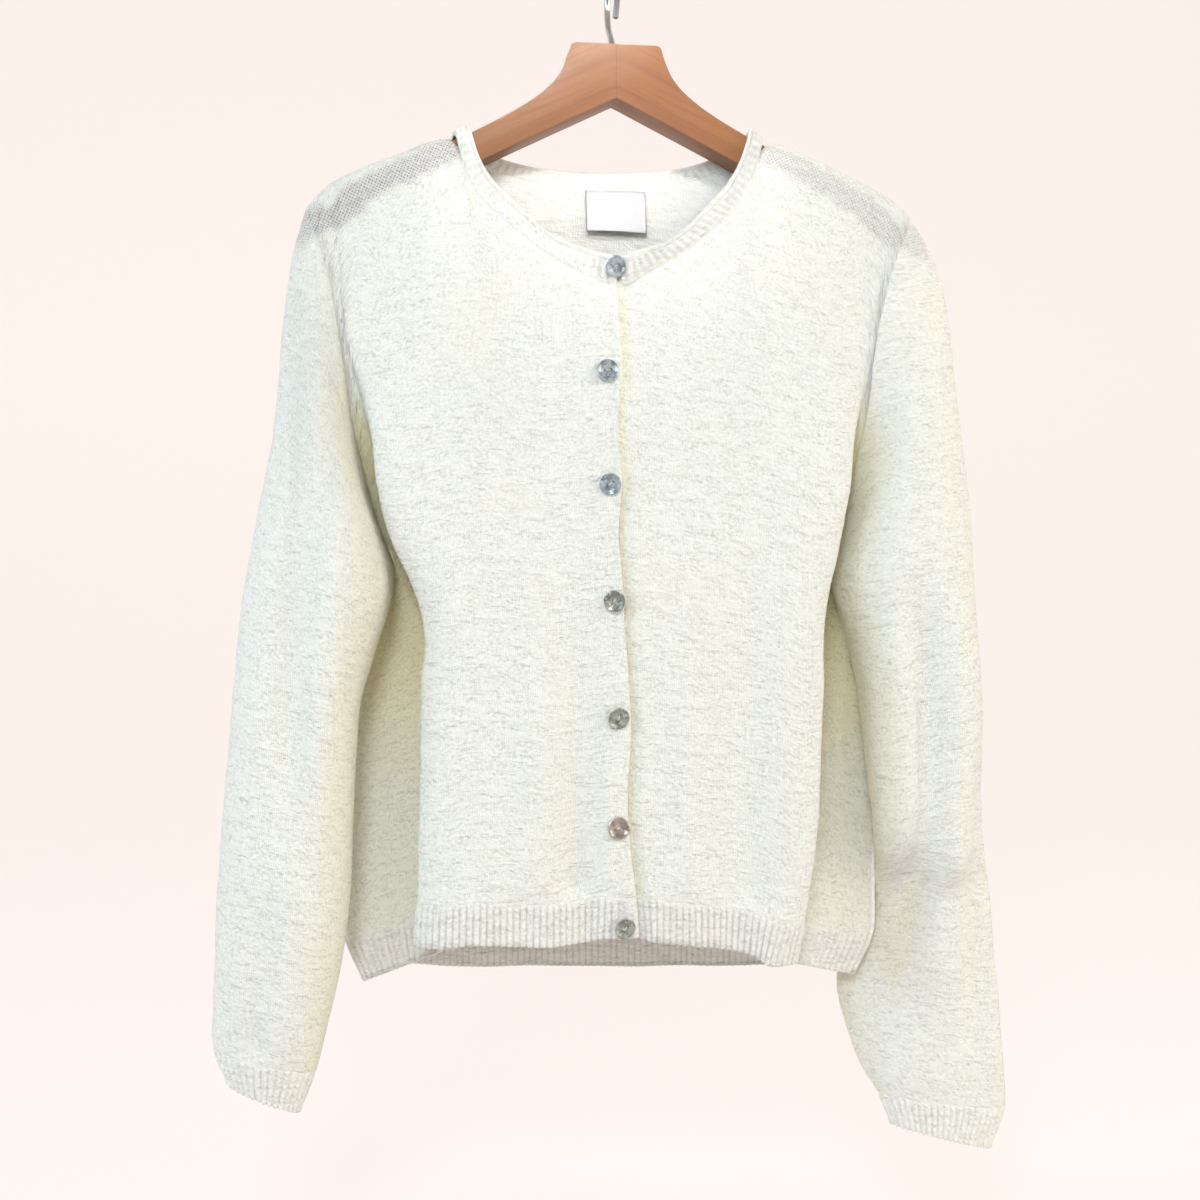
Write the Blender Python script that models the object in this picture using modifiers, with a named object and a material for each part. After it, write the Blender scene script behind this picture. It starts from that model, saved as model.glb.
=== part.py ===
"""A knitted button cardigan hanging on a wooden hanger.

Every cloth piece is a wall: a grid of outer points that follows the hanging garment, and a grid of
inner points one cloth thickness inside it. The rows of a panel run across the body and its columns
run down it. "Out" is the distance from the middle of the garment to either side, "depth" is minus
towards the front, and heights are measured from the inner top of the hook. Table sizes are in
millimetres. Wearer's right is at minus X, because the garment faces minus Y.
"""

from collections import namedtuple
from math import acos, asin, ceil, cos, pi, radians, sin

import bmesh
import bpy
import numpy as np
from mathutils import Matrix, Vector

MM = 0.001

# ---- driving dimensions, mm ----
CLOTH = 2.5  # thickness of the brushed knit
SEAM_GAP = 0.3
ARMHOLE_GAP = 0.8
RIB_GAP = 0.8  # above a hem or cuff rib, whose raised ribs lean towards the cloth above
UNDERARM_EASE = 1.8  # more gap where four pieces meet under the arm
NECK_EASE_GAP = 2.6  # and where the neckband turns over the shoulder
FOLD_GAP = 0.4  # between the two fronts where they lie on each other
OVERLAP = 28.0  # how far the left front runs under the right one
CENTRE = -4.0  # the closure stands a little off the middle
UNDERARM = -408.0
HEM_RIB = 27.5  # height of the hem rib
RIB_PITCH = 4.5  # hem and cuff rib
NECK_RIB_PITCH = 5.6
RIB_RISE = 0.9
ROLL_RISE = 1.1  # the rolled edge of the neckband
NECK_LIFT = 2.6  # the left neck point stands this much above the mean, the right one below it
BUTTON_RADIUS = 7.6
BUTTON_THICK = 2.4
BUTTON_RESTS = {1: 0.2, 7: RIB_RISE}  # the first and last lie on ribs, this much above the plain cloth

Fall = namedtuple("Fall", "height depth")
Reach = namedtuple("Reach", "height out")
Point = namedtuple("Point", "height out depth")
Flank = namedtuple("Flank", "height brow brow_depth turn turn_depth valley valley_depth")
Hole = namedtuple("Hole", "share out depth")
NeckRow = namedtuple("NeckRow", "out depth height edge_out edge_depth edge_height")
Ring = namedtuple("Ring", "out depth height in_out in_depth in_height half")
Fold = namedtuple("Fold", "across half_width depth start")
Dent = namedtuple("Dent", "share half_share depth top bottom")
ButtonAt = namedtuple("ButtonAt", "across height yaw pitch")

# How far the front and the back hang away from the hanger's plane.
FRONT_FALL = [Fall(*r) for r in (
    (-110, -17), (-160, -21.5), (-205, -28.5), (-240, -33.5), (-300, -39), (-360, -44),
    (-440, -48.5), (-520, -50.5), (-720, -52))]
BACK_FALL = [Fall(*r) for r in (
    (-110, 17), (-160, 17.5), (-200, 21), (-300, 33), (-400, 44), (-500, 53), (-600, 59), (-720, 63))]

# How the cloth comes off the top of the hanger arm: share of the full depth against the drop.
SHOULDER_ROLL = [Fall(*r) for r in ((0, 0), (0.7, 0.42), (2.5, 0.74), (5.5, 0.93), (10, 1))]

# The neck from the centre front to the centre back: seam, then edge of the band.
NECK = [NeckRow(*r) for r in (
    (0, -31.5, -227, 0, -30, -206.5),
    (21, -31, -219.5, 15, -29, -203.5),
    (49, -28.5, -204, 38, -26.5, -195.5),
    (76, -25, -181, 62, -23, -175),
    (93, -20.5, -163, 82, -18.5, -153),
    (101.5, -18, -142, 91, -17.2, -137),
    (106.3, -16.3, -124.5, 97, -16.3, -118.4),
    (108, 0, -118.6, 98.5, 0, -115.8),
    (106.5, 18, -124.5, 97, 18, -118.4),
    (88, 17.5, -137, 80, 21, -128),
    (50, 16, -149, 48, 25, -137),
    (0, 15, -152.5, 0, 26, -140.5))]
FRONT_NECK_ROWS = 8  # the eighth row is the neck point
NECK_MIDDLE = -3.0
NECK_TURN = 106.0  # how far out the neck seam turns over the shoulder
NECK_EASE = 60.0  # the fronts and the back leave the neck seam's depth over this drop

# Where the columns of a front and of half a back stand between its lines.
FRONT_COLUMNS = (0, 0.45, 1, 1.6, 2, 2.4, 2.7, 3, 3.5, 4, 4.5, 5, 5.5, 6, 6.5, 7)
BACK_COLUMNS = (0, 0.5, 1, 1.5, 2, 2.5, 3, 3.3, 3.65, 4.3, 5)
NECK_COLUMN = 7  # of a front, and the back's stands at 6
BACK_NECK_COLUMN = 6
# Shares of the drop from the shoulder to the underarm, and from there to the hem rib.
YOKE_ROWS = (0, 0.005, 0.016, 0.035, 0.065, 0.12, 0.2, 0.31, 0.44, 0.58, 0.72, 0.85, 0.95, 1)
BODY_ROWS = (0.09, 0.22, 0.37, 0.54, 0.71, 0.87, 1)

FRONT_FOLDS = [Fold(*r) for r in (
    (-26, 13, 4.5, -520), (29, 10, -3, -560), (76, 14, 4.5, -500), (-95, 16, -2.5, -540),
    (-66, 12, 2, -600))]
BACK_FOLDS = [Fold(*r) for r in ((-58, 18, 4, -480), (0, 20, -3, -520), (62, 16, 4.5, -460))]

EDGE = [Reach(*r) for r in (
    (-229, -1.3), (-266, 0.7), (-290, 1.8), (-320, -2.8), (-365, 0.9), (-394, -2.2), (-430, 0.4),
    (-476, 2.3), (-518, 6.2), (-566, 3.3), (-612, 5.4), (-650, 10), (-672, 11.5))]

BUTTONS = [ButtonAt(*r) for r in (
    (-2.8, -215.5, 14, 8), (-8.8, -286.8, 6, -8), (-8.3, -364.1, -8, 8), (-6, -442.7, -22, 6),
    (-3.6, -520.9, 10, 10), (-3.7, -594.4, 8, -6), (0.2, -661, 14, 14))]


class Side:
    """The measures that differ between the wearer's right (minus X) and left halves."""

    def __init__(self, sign, **tables):
        self.sign = sign
        self.__dict__.update(tables)


WEARERS_RIGHT = Side(
    -1,
    low=[Reach(*r) for r in ((-200, 51), (-300, 48), (-710, 48))],
    high=[Reach(*r) for r in ((-110, 95), (-240, 88), (-440, 80), (-710, 82))],
    point=[Reach(*r) for r in ((-110, 110), (-300, 112), (-440, 101), (-710, 103))],
    shoulder=[Point(*r) for r in (
        (-120.2, 111, 0), (-128.7, 128, 0), (-138.4, 150, 0), (-143.6, 164, 0), (-149.4, 178, 0),
        (-154, 187, 0), (-159, 195.5, 0), (-164.5, 202.5, 0), (-176, 211, 0))],
    flank=[Flank(*r) for r in (
        (-140, 150, -17, 178, -16.8, 194, -16.5), (-175, 152, -21, 179, -18, 195, -17),
        (-215, 156, -28, 181, -25, 190, -23), (-277, 158, -36, 180, -35, 184, -31.5),
        (-318, 152, -40, 170, -36.5, 171, -23), (-347, 148, -43, 166, -37, 160, -17),
        (-398, 138, -46, 156, -38, 137, -9), (-421, 128, -47, 146, -38, 127, -6),
        (-440, 119, -48.5, 137, -38.5, 119, -5), (-510, 117, -50.5, 135, -39, 116, -5),
        (-600, 117, -51, 135.5, -39, 116, -5), (-676, 119, -52, 138.7, -40, 121, -8))],
    armhole_front=[Hole(*r) for r in (
        (0, 211, 0), (0.008, 210.6, -8), (0.025, 209.6, -13), (0.06, 207, -17), (0.14, 200.5, -23),
        (0.35, 190, -31.5), (0.6, 181, -25), (0.84, 168, -4), (0.96, 159, 7), (1, 155, 10))],
    armhole_back=[Hole(*r) for r in (
        (0, 211, 0), (0.008, 210.6, 8), (0.025, 209.8, 13), (0.06, 208, 17), (0.14, 203, 20),
        (0.35, 194, 26), (0.6, 185, 30), (0.84, 172, 25), (0.96, 161, 15), (1, 155, 10))],
    seam=[Point(*r) for r in (
        (-408, 155, 10), (-425, 159, 12), (-450, 165, 14), (-510, 180, 15), (-560, 188, 15),
        (-600, 190, 15), (-650, 189, 14), (-672, 185, 13), (-687, 180, 12), (-706, 171, 11))],
    hem=(-668, -673, -671, -670, -672, -673, -682, -705, -702, -706, -708, -708.5, -709),
)
WEARERS_LEFT = Side(
    1,
    low=[Reach(*r) for r in ((-200, 46), (-300, 48), (-710, 51))],
    high=[Reach(*r) for r in ((-110, 89), (-240, 85), (-440, 81), (-560, 80), (-710, 74))],
    point=[Reach(*r) for r in ((-110, 104), (-300, 110), (-440, 104), (-560, 103), (-710, 87))],
    shoulder=[Point(*r) for r in (
        (-116, 105, 0), (-125, 124, 0), (-133.2, 147, 0), (-138.4, 161, 0), (-144.5, 174, 0),
        (-149.3, 184, 0), (-154, 193.5, 0), (-159, 202, 0), (-168.5, 213, 0))],
    flank=[Flank(*r) for r in (
        (-132, 148, -17, 172, -16.8, 192, -16.5), (-175, 149, -22, 172, -18.5, 192, -17),
        (-226, 150, -30, 172, -28, 182, -26), (-270, 150, -35.5, 171, -34, 177, -31),
        (-318, 148, -40, 167, -36, 168, -22), (-347, 145, -43, 163.5, -37, 158, -16),
        (-398, 136, -46, 154, -38, 138, -10), (-421, 130, -47, 149.5, -38, 131, -9),
        (-443, 126, -48.5, 144, -38.5, 126, -9), (-510, 122, -50.5, 140.5, -39, 122, -9),
        (-600, 118, -51, 137, -39, 118, -9), (-650, 111, -51.5, 130, -40, 113, -10),
        (-690, 101, -52, 121, -41, 106, -12))],
    armhole_front=[Hole(*r) for r in (
        (0, 213, 0), (0.008, 212.6, -8), (0.025, 211.4, -13), (0.06, 208, -17), (0.14, 199, -23),
        (0.35, 183, -31.5), (0.6, 176, -25), (0.84, 167, -5), (0.96, 160, 7), (1, 157, 10))],
    armhole_back=[Hole(*r) for r in (
        (0, 213, 0), (0.008, 212.6, 8), (0.025, 211.6, 13), (0.06, 209, 17), (0.14, 202, 20),
        (0.35, 190, 26), (0.6, 182, 30), (0.84, 171, 25), (0.96, 162, 15), (1, 157, 10))],
    seam=[Point(*r) for r in (
        (-408, 157, 10), (-425, 161, 12), (-450, 168, 14), (-480, 177, 15), (-510, 186, 16),
        (-560, 195, 16), (-614, 194, 14), (-634, 190.5, 9.5), (-654, 190.5, 4), (-679, 188, 3),
        (-693, 184, 3),
        (-706, 177, 4), (-713, 171, 4))],
    hem=(-668, -675, -679, -683, -690, -690, -692, -709, -711, -712, -712, -711, -710),
)

CORNER = [Point(*r) for r in (
    (-165, 195, 17), (-215, 190, 20.5), (-262, 182, 27), (-318, 169, 34), (-372, 157, 40),
    (-408, 150, 43), (-450, 146, 46), (-510, 147, 49), (-600, 151, 52), (-715, 152, 54))]
BLADE = [Point(*r) for r in (
    (-120, 150, 17), (-215, 150, 22), (-300, 140, 33), (-408, 122, 45), (-510, 112, 53),
    (-600, 112, 59), (-715, 114, 62))]
BACK_POINT = [Reach(*r) for r in ((-110, 107), (-300, 100), (-440, 82), (-715, 80))]
BACK_MID = [Reach(*r) for r in ((-110, 58), (-440, 42), (-715, 40))]

SLEEVE_RIGHT = [Ring(*r) for r in (
    (211, 0, -176, 155, 10, -408, 30), (219, -4, -203, 154, 8, -411, 34),
    (225, -9, -240, 152.5, 3, -416, 38), (229, -13, -274, 151.5, -3, -421, 42),
    (232.8, -16, -309, 152, -9, -428, 44), (236.2, -19, -342, 153, -14, -437, 45),
    (240.5, -21, -375, 156, -18, -450, 46), (243.8, -23, -405, 161, -20, -465, 46),
    (248.7, -25, -442, 168, -22, -487, 45), (252.5, -26, -475, 174, -24, -508, 44),
    (257.3, -27, -525, 177, -25, -540, 42), (263, -27, -585, 179.5, -25, -590, 40),
    (267.3, -27, -640, 181.5, -26, -641, 39), (270.6, -26, -692, 189, -26, -694, 36),
    (272, -25, -718, 196, -25, -724, 31), (270.5, -25, -738, 204, -25, -756, 23),
    (261.5, -25, -762, 214.5, -25, -782.5, 16))]
SLEEVE_LEFT = [Ring(*r) for r in (
    (213, 0, -168.5, 157, 10, -408, 30), (227.5, 0, -192, 156.5, 8, -411, 34),
    (239, 0, -227, 156, 3, -415, 38), (244.5, 1, -262, 156, -3, -420, 42),
    (248, 2, -298, 157, -8, -428, 44), (252, 3, -340, 159, -12, -438, 46),
    (255.8, 4, -380, 163, -15, -451, 47), (257, 5, -418, 169, -18, -467, 46),
    (257.4, 6, -455, 176, -22, -492, 45), (259.7, 6, -508, 182.5, -25, -522, 42),
    (262, 6, -558, 186.5, -25, -562, 38), (266.5, 6, -605, 187, -21, -607, 33),
    (269.5, 6, -619, 190.5, -13, -620, 31), (272, 6, -632, 197, 5, -634, 30),
    (274.5, 6, -646, 192, 22, -648, 28), (276.5, 5, -664, 186, 29, -664, 26),
    (278.8, 4, -700, 175, 35, -698, 23), (281.5, 4, -722, 170.5, 33, -719, 22),
    (283.5, 4, -752, 174, 24, -748, 20), (286, 4, -785, 184, 14, -778, 17),
    (286.5, 4, -809, 194, 8, -795, 14), (276, 4, -837, 203, 6, -817, 11))]
DENTS_RIGHT = [Dent(*r) for r in ((0.4, 0.16, 5, -300, -620), (0.5, 0.2, 4, -640, -735))]
DENTS_LEFT = [Dent(*r) for r in ((0.7, 0.17, 6, -420, -760), (0.3, 0.15, 3, -520, -700))]
ARMHOLE_SHARES = (1, 0.62, 0.28, 0.08)  # how much of the armhole's own shape the first rings keep

# The hanger: a wooden bar with a head, and a wire hook that turns towards the front.
WOOD_MIDDLE = 1.0
WOOD_THICK = 26.0
WOOD_ROUND = 3.2
WOOD_TOP = [Reach(*r) for r in (
    (-58, 0), (-58, 28), (-59.2, 30.8), (-62, 32), (-70, 34.6), (-81, 40), (-92, 50),
    (-104.6, 67.5), (-121.8, 98.5), (-145.5, 147), (-163.5, 180), (-172, 191), (-182, 197.5))]
WOOD_UNDER = [Reach(*r) for r in (
    (-189, 195), (-190, 188), (-184.5, 176), (-138.5, 88), (-97.5, 5), (-95.2, 0))]
WIRE = 4.4
LOOP_RADIUS = 24.2  # to the middle of the wire
HOOK_OPENING = radians(50)  # how far the loop runs past level on each side
STEM_BOTTOM = -72.0
STEM_CLEARANCE = 0.3

LABEL_MIDDLE = 4.0
LABEL_WIDTH = 43.0
LABEL_TOP = -156.0
LABEL_HEIGHT = 26.0
LABEL_THICK = 0.7

COLOURS = {
    "knit": ((0.90, 0.89, 0.84), 0.95, 0),
    "shell": ((0.42, 0.43, 0.42), 0.25, 0),
    "satin": ((0.86, 0.86, 0.86), 0.45, 0),
    "wood": ((0.56, 0.33, 0.19), 0.5, 0),
    "chrome": ((0.75, 0.76, 0.78), 0.18, 1),
}


# ---- curves and rows ----
def read(table, at, column):
    """The named column of a table at this value of its first column, as a smooth curve."""
    keys = np.array([row[0] for row in table], float)
    values = np.array([getattr(row, column) for row in table], float)
    if keys[0] > keys[-1]:
        keys, values, at = -keys, values, -at
    at = min(max(at, keys[0]), keys[-1])
    slopes = np.gradient(values, keys)
    i = min(int(np.searchsorted(keys, at, "right")) - 1, len(keys) - 2)
    span = keys[i + 1] - keys[i]
    t = (at - keys[i]) / span
    return (
        values[i] * (1 + 2 * t) * (1 - t) ** 2 + slopes[i] * span * t * (1 - t) ** 2
        + values[i + 1] * t * t * (3 - 2 * t) + slopes[i + 1] * span * t * t * (t - 1)
    )


def through(points, at):
    """The place at this fractional index on a smooth curve through the points."""
    points = np.asarray(points, float)
    i = min(int(at), len(points) - 2)
    t = at - i
    a, b = points[i], points[i + 1]
    before = points[i - 1] if i else 2 * a - b
    after = points[i + 2] if i + 2 < len(points) else 2 * b - a
    return 0.5 * (
        2 * a + (b - before) * t + (2 * before - 5 * a + 4 * b - after) * t * t
        + (3 * a - before - 3 * b + after) * t ** 3
    )


def smooth_step(value):
    value = min(max(value, 0), 1)
    return value * value * (3 - 2 * value)


def row_heights(top, hem):
    """The heights of one column's rows: yoke, body, and the hem below its rib."""
    rib_top = hem + HEM_RIB
    yoke = [top + (UNDERARM - top) * share for share in YOKE_ROWS]
    body = [UNDERARM + (rib_top - UNDERARM) * share for share in BODY_ROWS]
    return yoke + body + [hem]


UNDERARM_ROW = len(YOKE_ROWS) - 1


def neck_place(row, sign):
    """The neck seam and the band's edge in this row, on one side."""
    lift = NECK_LIFT * sign * (row.out / NECK[FRONT_NECK_ROWS - 1].out) ** 2
    seam = (NECK_MIDDLE + sign * row.out, row.depth, row.height + lift)
    edge = (NECK_MIDDLE + sign * row.edge_out, row.edge_depth, row.edge_height + lift)
    return np.array(seam), np.array(edge)


def folds_at(folds, across, height):
    """How far back the folds push the cloth here."""
    pushed = 0
    for fold in folds:
        deepens = smooth_step((fold.start - height) / 110)
        pushed += fold.depth * deepens * np.exp(-(((across - fold.across) / fold.half_width) ** 2))
    return pushed


def front_lines(side, height, share):
    """The eight points that a row of a front runs through, from the closure to the side."""
    s = side.sign
    fall = read(FRONT_FALL, height[0], "depth")
    low_fall, high_fall, point_fall = (read(FRONT_FALL, height[i], "depth") for i in (1, 2, 3))
    points = [
        (CENTRE, fall, height[0]),
        (s * read(side.low, height[1], "out"), low_fall, height[1]),
        (s * read(side.high, height[2], "out"), high_fall, height[2]),
        (s * read(side.point, height[3], "out"), point_fall, height[3]),
    ]
    for i, name in ((4, "brow"), (5, "turn"), (6, "valley")):
        out = read(side.flank, height[i], name)
        points.append((s * out, read(side.flank, height[i], name + "_depth"), height[i]))
    points.append(side_place(side, side.armhole_front, height[7], share))
    return points


def back_lines(side, height, share):
    """The six points that a row of half the back runs through, from the side to the middle."""
    s = side.sign
    points = [side_place(side, side.armhole_back, height[0], share)]
    for i, table in ((1, CORNER), (2, BLADE)):
        points.append((s * read(table, height[i], "out"), read(table, height[i], "depth"), height[i]))
    for i, table in ((3, BACK_POINT), (4, BACK_MID)):
        points.append((s * read(table, height[i], "out"), read(BACK_FALL, height[i], "depth"), height[i]))
    points.append((0, read(BACK_FALL, height[5], "depth"), height[5]))
    return points


def side_place(side, armhole, height, share):
    """On the armhole down to the underarm, and on the side seam below it."""
    if share is not None:
        return (side.sign * read(armhole, share, "out"), read(armhole, share, "depth"), height)
    return (side.sign * read(side.seam, height, "out"), read(side.seam, height, "depth"), height)


def shoulder_tops(side):
    """The shoulder seam from the neck point to its end."""
    return [np.array((side.sign * p.out, p.depth, p.height), float) for p in side.shoulder]


def front_tops(side):
    """The top of each line of a front: four on the neckline, then along the shoulder seam."""
    columns = [neck_place(row, side.sign)[0] for row in NECK[:FRONT_NECK_ROWS]]
    columns[0][0] = CENTRE
    columns[-1] = shoulder_tops(side)[0]
    return columns + shoulder_tops(side)[1:]


def back_tops(side):
    """The same for half the back, from the shoulder's end to the centre back."""
    shoulder = shoulder_tops(side)[::-1]
    seam = [shoulder[i] for i in (0, 1, 2, 4, 6, 7, 8)]
    neck = [neck_place(row, side.sign)[0] for row in NECK[FRONT_NECK_ROWS:]]
    neck[-1][0] = 0
    return seam + neck


def panel(side, lines, columns, tops, hems, folds, neck_columns):
    """Rows of points across a panel. Its first row is the top boundary."""
    top_heights = [top[2] for top in tops]
    line_tops = np.interp(range(len(hems)), columns, top_heights)
    grid = []
    for k in range(len(row_heights(0, -1))):
        share = YOKE_ROWS[k] if k <= UNDERARM_ROW else None
        heights = [row_heights(top, hem)[k] for top, hem in zip(line_tops, hems)]
        points = lines(side, heights, share)
        grid.append([through(points, at) for at in columns])
    top_row = [place.copy() for place in grid[0]]
    for k, row in enumerate(grid):
        for c, place in enumerate(row):
            hem = through([(h,) for h in hems], columns[c])[0]
            place[2] = row_heights(top_heights[c], hem)[k]
            drop = top_heights[c] - place[2]
            rolled = read(SHOULDER_ROLL, min(drop, SHOULDER_ROLL[-1].height), "depth")
            left = 1 - (smooth_step(drop / NECK_EASE) if c in neck_columns else rolled)
            place[:2] += (tops[c] - top_row[c])[:2] * left
            if k > UNDERARM_ROW:
                place[1] += folds_at(folds, place[0], place[2])
    return np.array(grid)


# ---- walls ----
def face_normals(grid):
    """Every vertex's outward direction: the sum over its faces, larger faces counting more."""
    across = grid[:-1, 1:] - grid[1:, :-1]
    down = grid[1:, 1:] - grid[:-1, :-1]
    each = np.cross(across, down)
    normals = np.zeros_like(grid)
    normals[:-1, :-1] += each
    normals[:-1, 1:] += each
    normals[1:, :-1] += each
    normals[1:, 1:] += each
    return normals


def place_key(place):
    return tuple(np.round(place, 4))


def share_normals(grids):
    """Unit directions for all grids, the same wherever two grids have the same point."""
    sums, found = {}, []
    for grid in grids:
        normals = face_normals(grid)
        found.append(normals)
        for place, normal in zip(grid.reshape(-1, 3), normals.reshape(-1, 3)):
            key = place_key(place)
            sums[key] = sums.get(key, 0) + normal / max(np.linalg.norm(normal), 1e-9)
    for grid, normals in zip(grids, found):
        for place, normal in zip(grid.reshape(-1, 3), normals.reshape(-1, 3)):
            total = sums[place_key(place)]
            normal[:] = total / np.linalg.norm(total)
    return found


def set_back(grid, **gaps):
    """Moves each named border's points by its gap towards their neighbours inside the piece."""
    grid = grid.copy()
    lines = {
        "top": (grid[0], grid[1]), "bottom": (grid[-1], grid[-2]),
        "first": (grid[:, 0], grid[:, 1]), "last": (grid[:, -1], grid[:, -2]),
    }
    moves = []
    for name, gap in gaps.items():
        border, inside = lines[name]
        way = inside - border
        unit = way / np.linalg.norm(way, axis=1, keepdims=True)
        moves.append((border, unit * np.reshape(gap, (-1, 1))))
    for border, way in moves:
        border += way
    return grid


def turning_gap(seam):
    """Half the gap along a seam, wider where the neck seam turns over the shoulder."""
    gaps = []
    for x, y, z in seam:
        turning = abs(abs(x - NECK_MIDDLE) - NECK_TURN) < 8 and z > -145
        gaps.append((NECK_EASE_GAP if turning else SEAM_GAP) / 2)
    return np.array(gaps)


def stitch(a, b, at_a, at_b):
    """Triangles between two rows of vertices, each with its places along the row."""
    faces = []
    i = j = 0
    while i < len(a) - 1 or j < len(b) - 1:
        if j == len(b) - 1 or (i < len(a) - 1 and at_a[i + 1] <= at_b[j + 1]):
            faces.append((a[i], a[i + 1], b[j]))
            i += 1
        else:
            faces.append((a[i], b[j + 1], b[j]))
            j += 1
    return faces


def loft(outer, inner, outer_at, inner_at, closed):
    """Points and faces of a closed wall between an outer and an inner grid."""
    rows, columns = outer.shape[:2]
    in_rows, in_columns = inner.shape[:2]
    points = list(outer.reshape(-1, 3)) + list(inner.reshape(-1, 3))
    first_inner = rows * columns
    out_index = np.arange(first_inner).reshape(rows, columns)
    in_index = first_inner + np.arange(in_rows * in_columns).reshape(in_rows, in_columns)
    if closed:
        out_index = np.column_stack([out_index, out_index[:, 0]])
        in_index = np.column_stack([in_index, in_index[:, 0]])
    faces = []
    for index, turned in ((out_index, False), (in_index, True)):
        for r in range(index.shape[0] - 1):
            for c in range(index.shape[1] - 1):
                face = (index[r, c], index[r, c + 1], index[r + 1, c + 1], index[r + 1, c])
                faces.append(face[::-1] if turned else face)
    back_out, back_in = [-at for at in outer_at[::-1]], [-at for at in inner_at[::-1]]
    faces += stitch(out_index[0][::-1], in_index[0][::-1], back_out, back_in)
    faces += stitch(out_index[-1], in_index[-1], outer_at, inner_at)
    if not closed:
        down_out = np.linspace(0, 1, rows)
        down_in = np.linspace(0, 1, in_rows)
        faces += stitch(out_index[:, 0], in_index[:, 0], down_out, down_in)
        up_out, up_in = out_index[::-1, -1], in_index[::-1, -1]
        faces += stitch(up_out, up_in, down_out, down_in)
    return points, [tuple(int(i) for i in face) for face in faces]


def mesh_piece(name, points, faces, colour):
    mesh = bpy.data.meshes.new(name)
    mesh.from_pydata([Vector(p) * MM for p in points], [], faces)
    return finish_piece(name, mesh, colour)


def finish_piece(name, mesh, colour):
    """A named object with its own material, shaded smooth."""
    mesh.shade_smooth()
    mesh.set_sharp_from_angle(angle=radians(40))
    mesh.materials.clear()
    mesh.materials.append(material(name, colour))
    piece = bpy.data.objects.new(name, mesh)
    PARTS.objects.link(piece)
    return piece


def material(name, colour):
    shade, roughness, metallic = COLOURS[colour]
    made = bpy.data.materials.new(name + "_" + colour)
    made.use_nodes = True
    shader = made.node_tree.nodes["Principled BSDF"]
    shader.inputs["Base Color"].default_value = (*shade, 1)
    shader.inputs["Roughness"].default_value = roughness
    shader.inputs["Metallic"].default_value = metallic
    return made


def plain_wall(name, grid, normals, closed=False):
    """A cloth wall with no ribs."""
    if closed:
        grid, normals = grid[:, :-1], normals[:, :-1]
    places = range(grid.shape[1] + closed)
    points, faces = loft(grid, grid - normals * CLOTH, list(places), list(places), closed)
    return mesh_piece(name, points, faces, "knit")


def along(lines, at):
    """The rows of a grid at a fractional column, straight between its columns."""
    i = min(int(at), lines.shape[1] - 2)
    return lines[:, i] * (i + 1 - at) + lines[:, i + 1] * (at - i)


def ribbed_wall(name, grid, normals, shares, rises, pitch, bare=None, closed=False):
    """A ribbed strip. Its outer rows stand at these shares of its width, each raised by a plain
    rise and a rib's rise; the inside stays plain. Bare gives each column's share of the rises."""
    lengths = np.linalg.norm(np.diff(grid[-1], axis=0), axis=1)
    run = np.concatenate([[0], np.cumsum(lengths)])
    ribs = max(int(round(run[-1] / pitch)), 2)
    places = np.interp(np.linspace(0, run[-1], 2 * ribs + 1), run, np.arange(len(run)))
    if closed:
        places = places[:-1]
    bare = np.ones(grid.shape[1]) if bare is None else bare
    outer = []
    for share, (plain, ribbed) in zip(shares, rises):
        row = []
        for c, at in enumerate(places):
            top, bottom = along(grid, at)[[0, -1]]
            out = along(normals, at)[[0, -1]]
            direction = out[0] * (1 - share) + out[1] * share
            direction = direction / np.linalg.norm(direction)
            rise = (plain + ribbed * (c % 2)) * np.interp(at, range(len(bare)), bare)
            row.append(top * (1 - share) + bottom * share + direction * rise)
        outer.append(row)
    outer = np.array(outer)
    inner = (grid - normals * CLOTH)[[0, -1]]
    inner_at = list(range(grid.shape[1]))
    if closed:
        inner = inner[:, :-1]
        places = list(places) + [inner_at[-1]]
    points, faces = loft(outer, inner, list(places), inner_at, closed)
    return mesh_piece(name, points, faces, "knit")


# ---- the body ----
def centre_place(column, edge_out):
    """The closure column moved sideways on the front's surface."""
    moved = column.copy()
    for place in moved:
        across = read(EDGE, place[2], "out") + edge_out
        fold = folds_at(FRONT_FOLDS, across, place[2]) - folds_at(FRONT_FOLDS, place[0], place[2])
        place[:2] = across, place[1] + fold
    return moved


def fronts():
    """The right front with its edge, the left front with its hidden part, both in body order."""
    grids = [
        panel(side, front_lines, FRONT_COLUMNS, front_tops(side), side.hem[:8], FRONT_FOLDS,
              range(NECK_COLUMN))
        for side in (WEARERS_RIGHT, WEARERS_LEFT)
    ]
    right, left = grids
    edge = centre_place(right[:, 0], 0)
    hidden = [right[:, 1], right[:, 0], centre_place(right[:, 0], 1.5)]
    hidden = [column + (0, CLOTH + FOLD_GAP, 0) for column in hidden]
    shown = centre_place(right[:, 0], 7)
    under = np.stack(hidden + [shown] + [left[:, c] for c in range(1, left.shape[1])], axis=1)
    over = np.concatenate([edge[:, None], right], axis=1)
    return over, under[:, ::-1]


def back():
    halves = [
        panel(side, back_lines, BACK_COLUMNS, back_tops(side), side.hem[7:], BACK_FOLDS,
              range(BACK_NECK_COLUMN + 1, len(BACK_COLUMNS)))
        for side in (WEARERS_RIGHT, WEARERS_LEFT)
    ]
    return np.concatenate([halves[0], halves[1][:, -2::-1]], axis=1)


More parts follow.
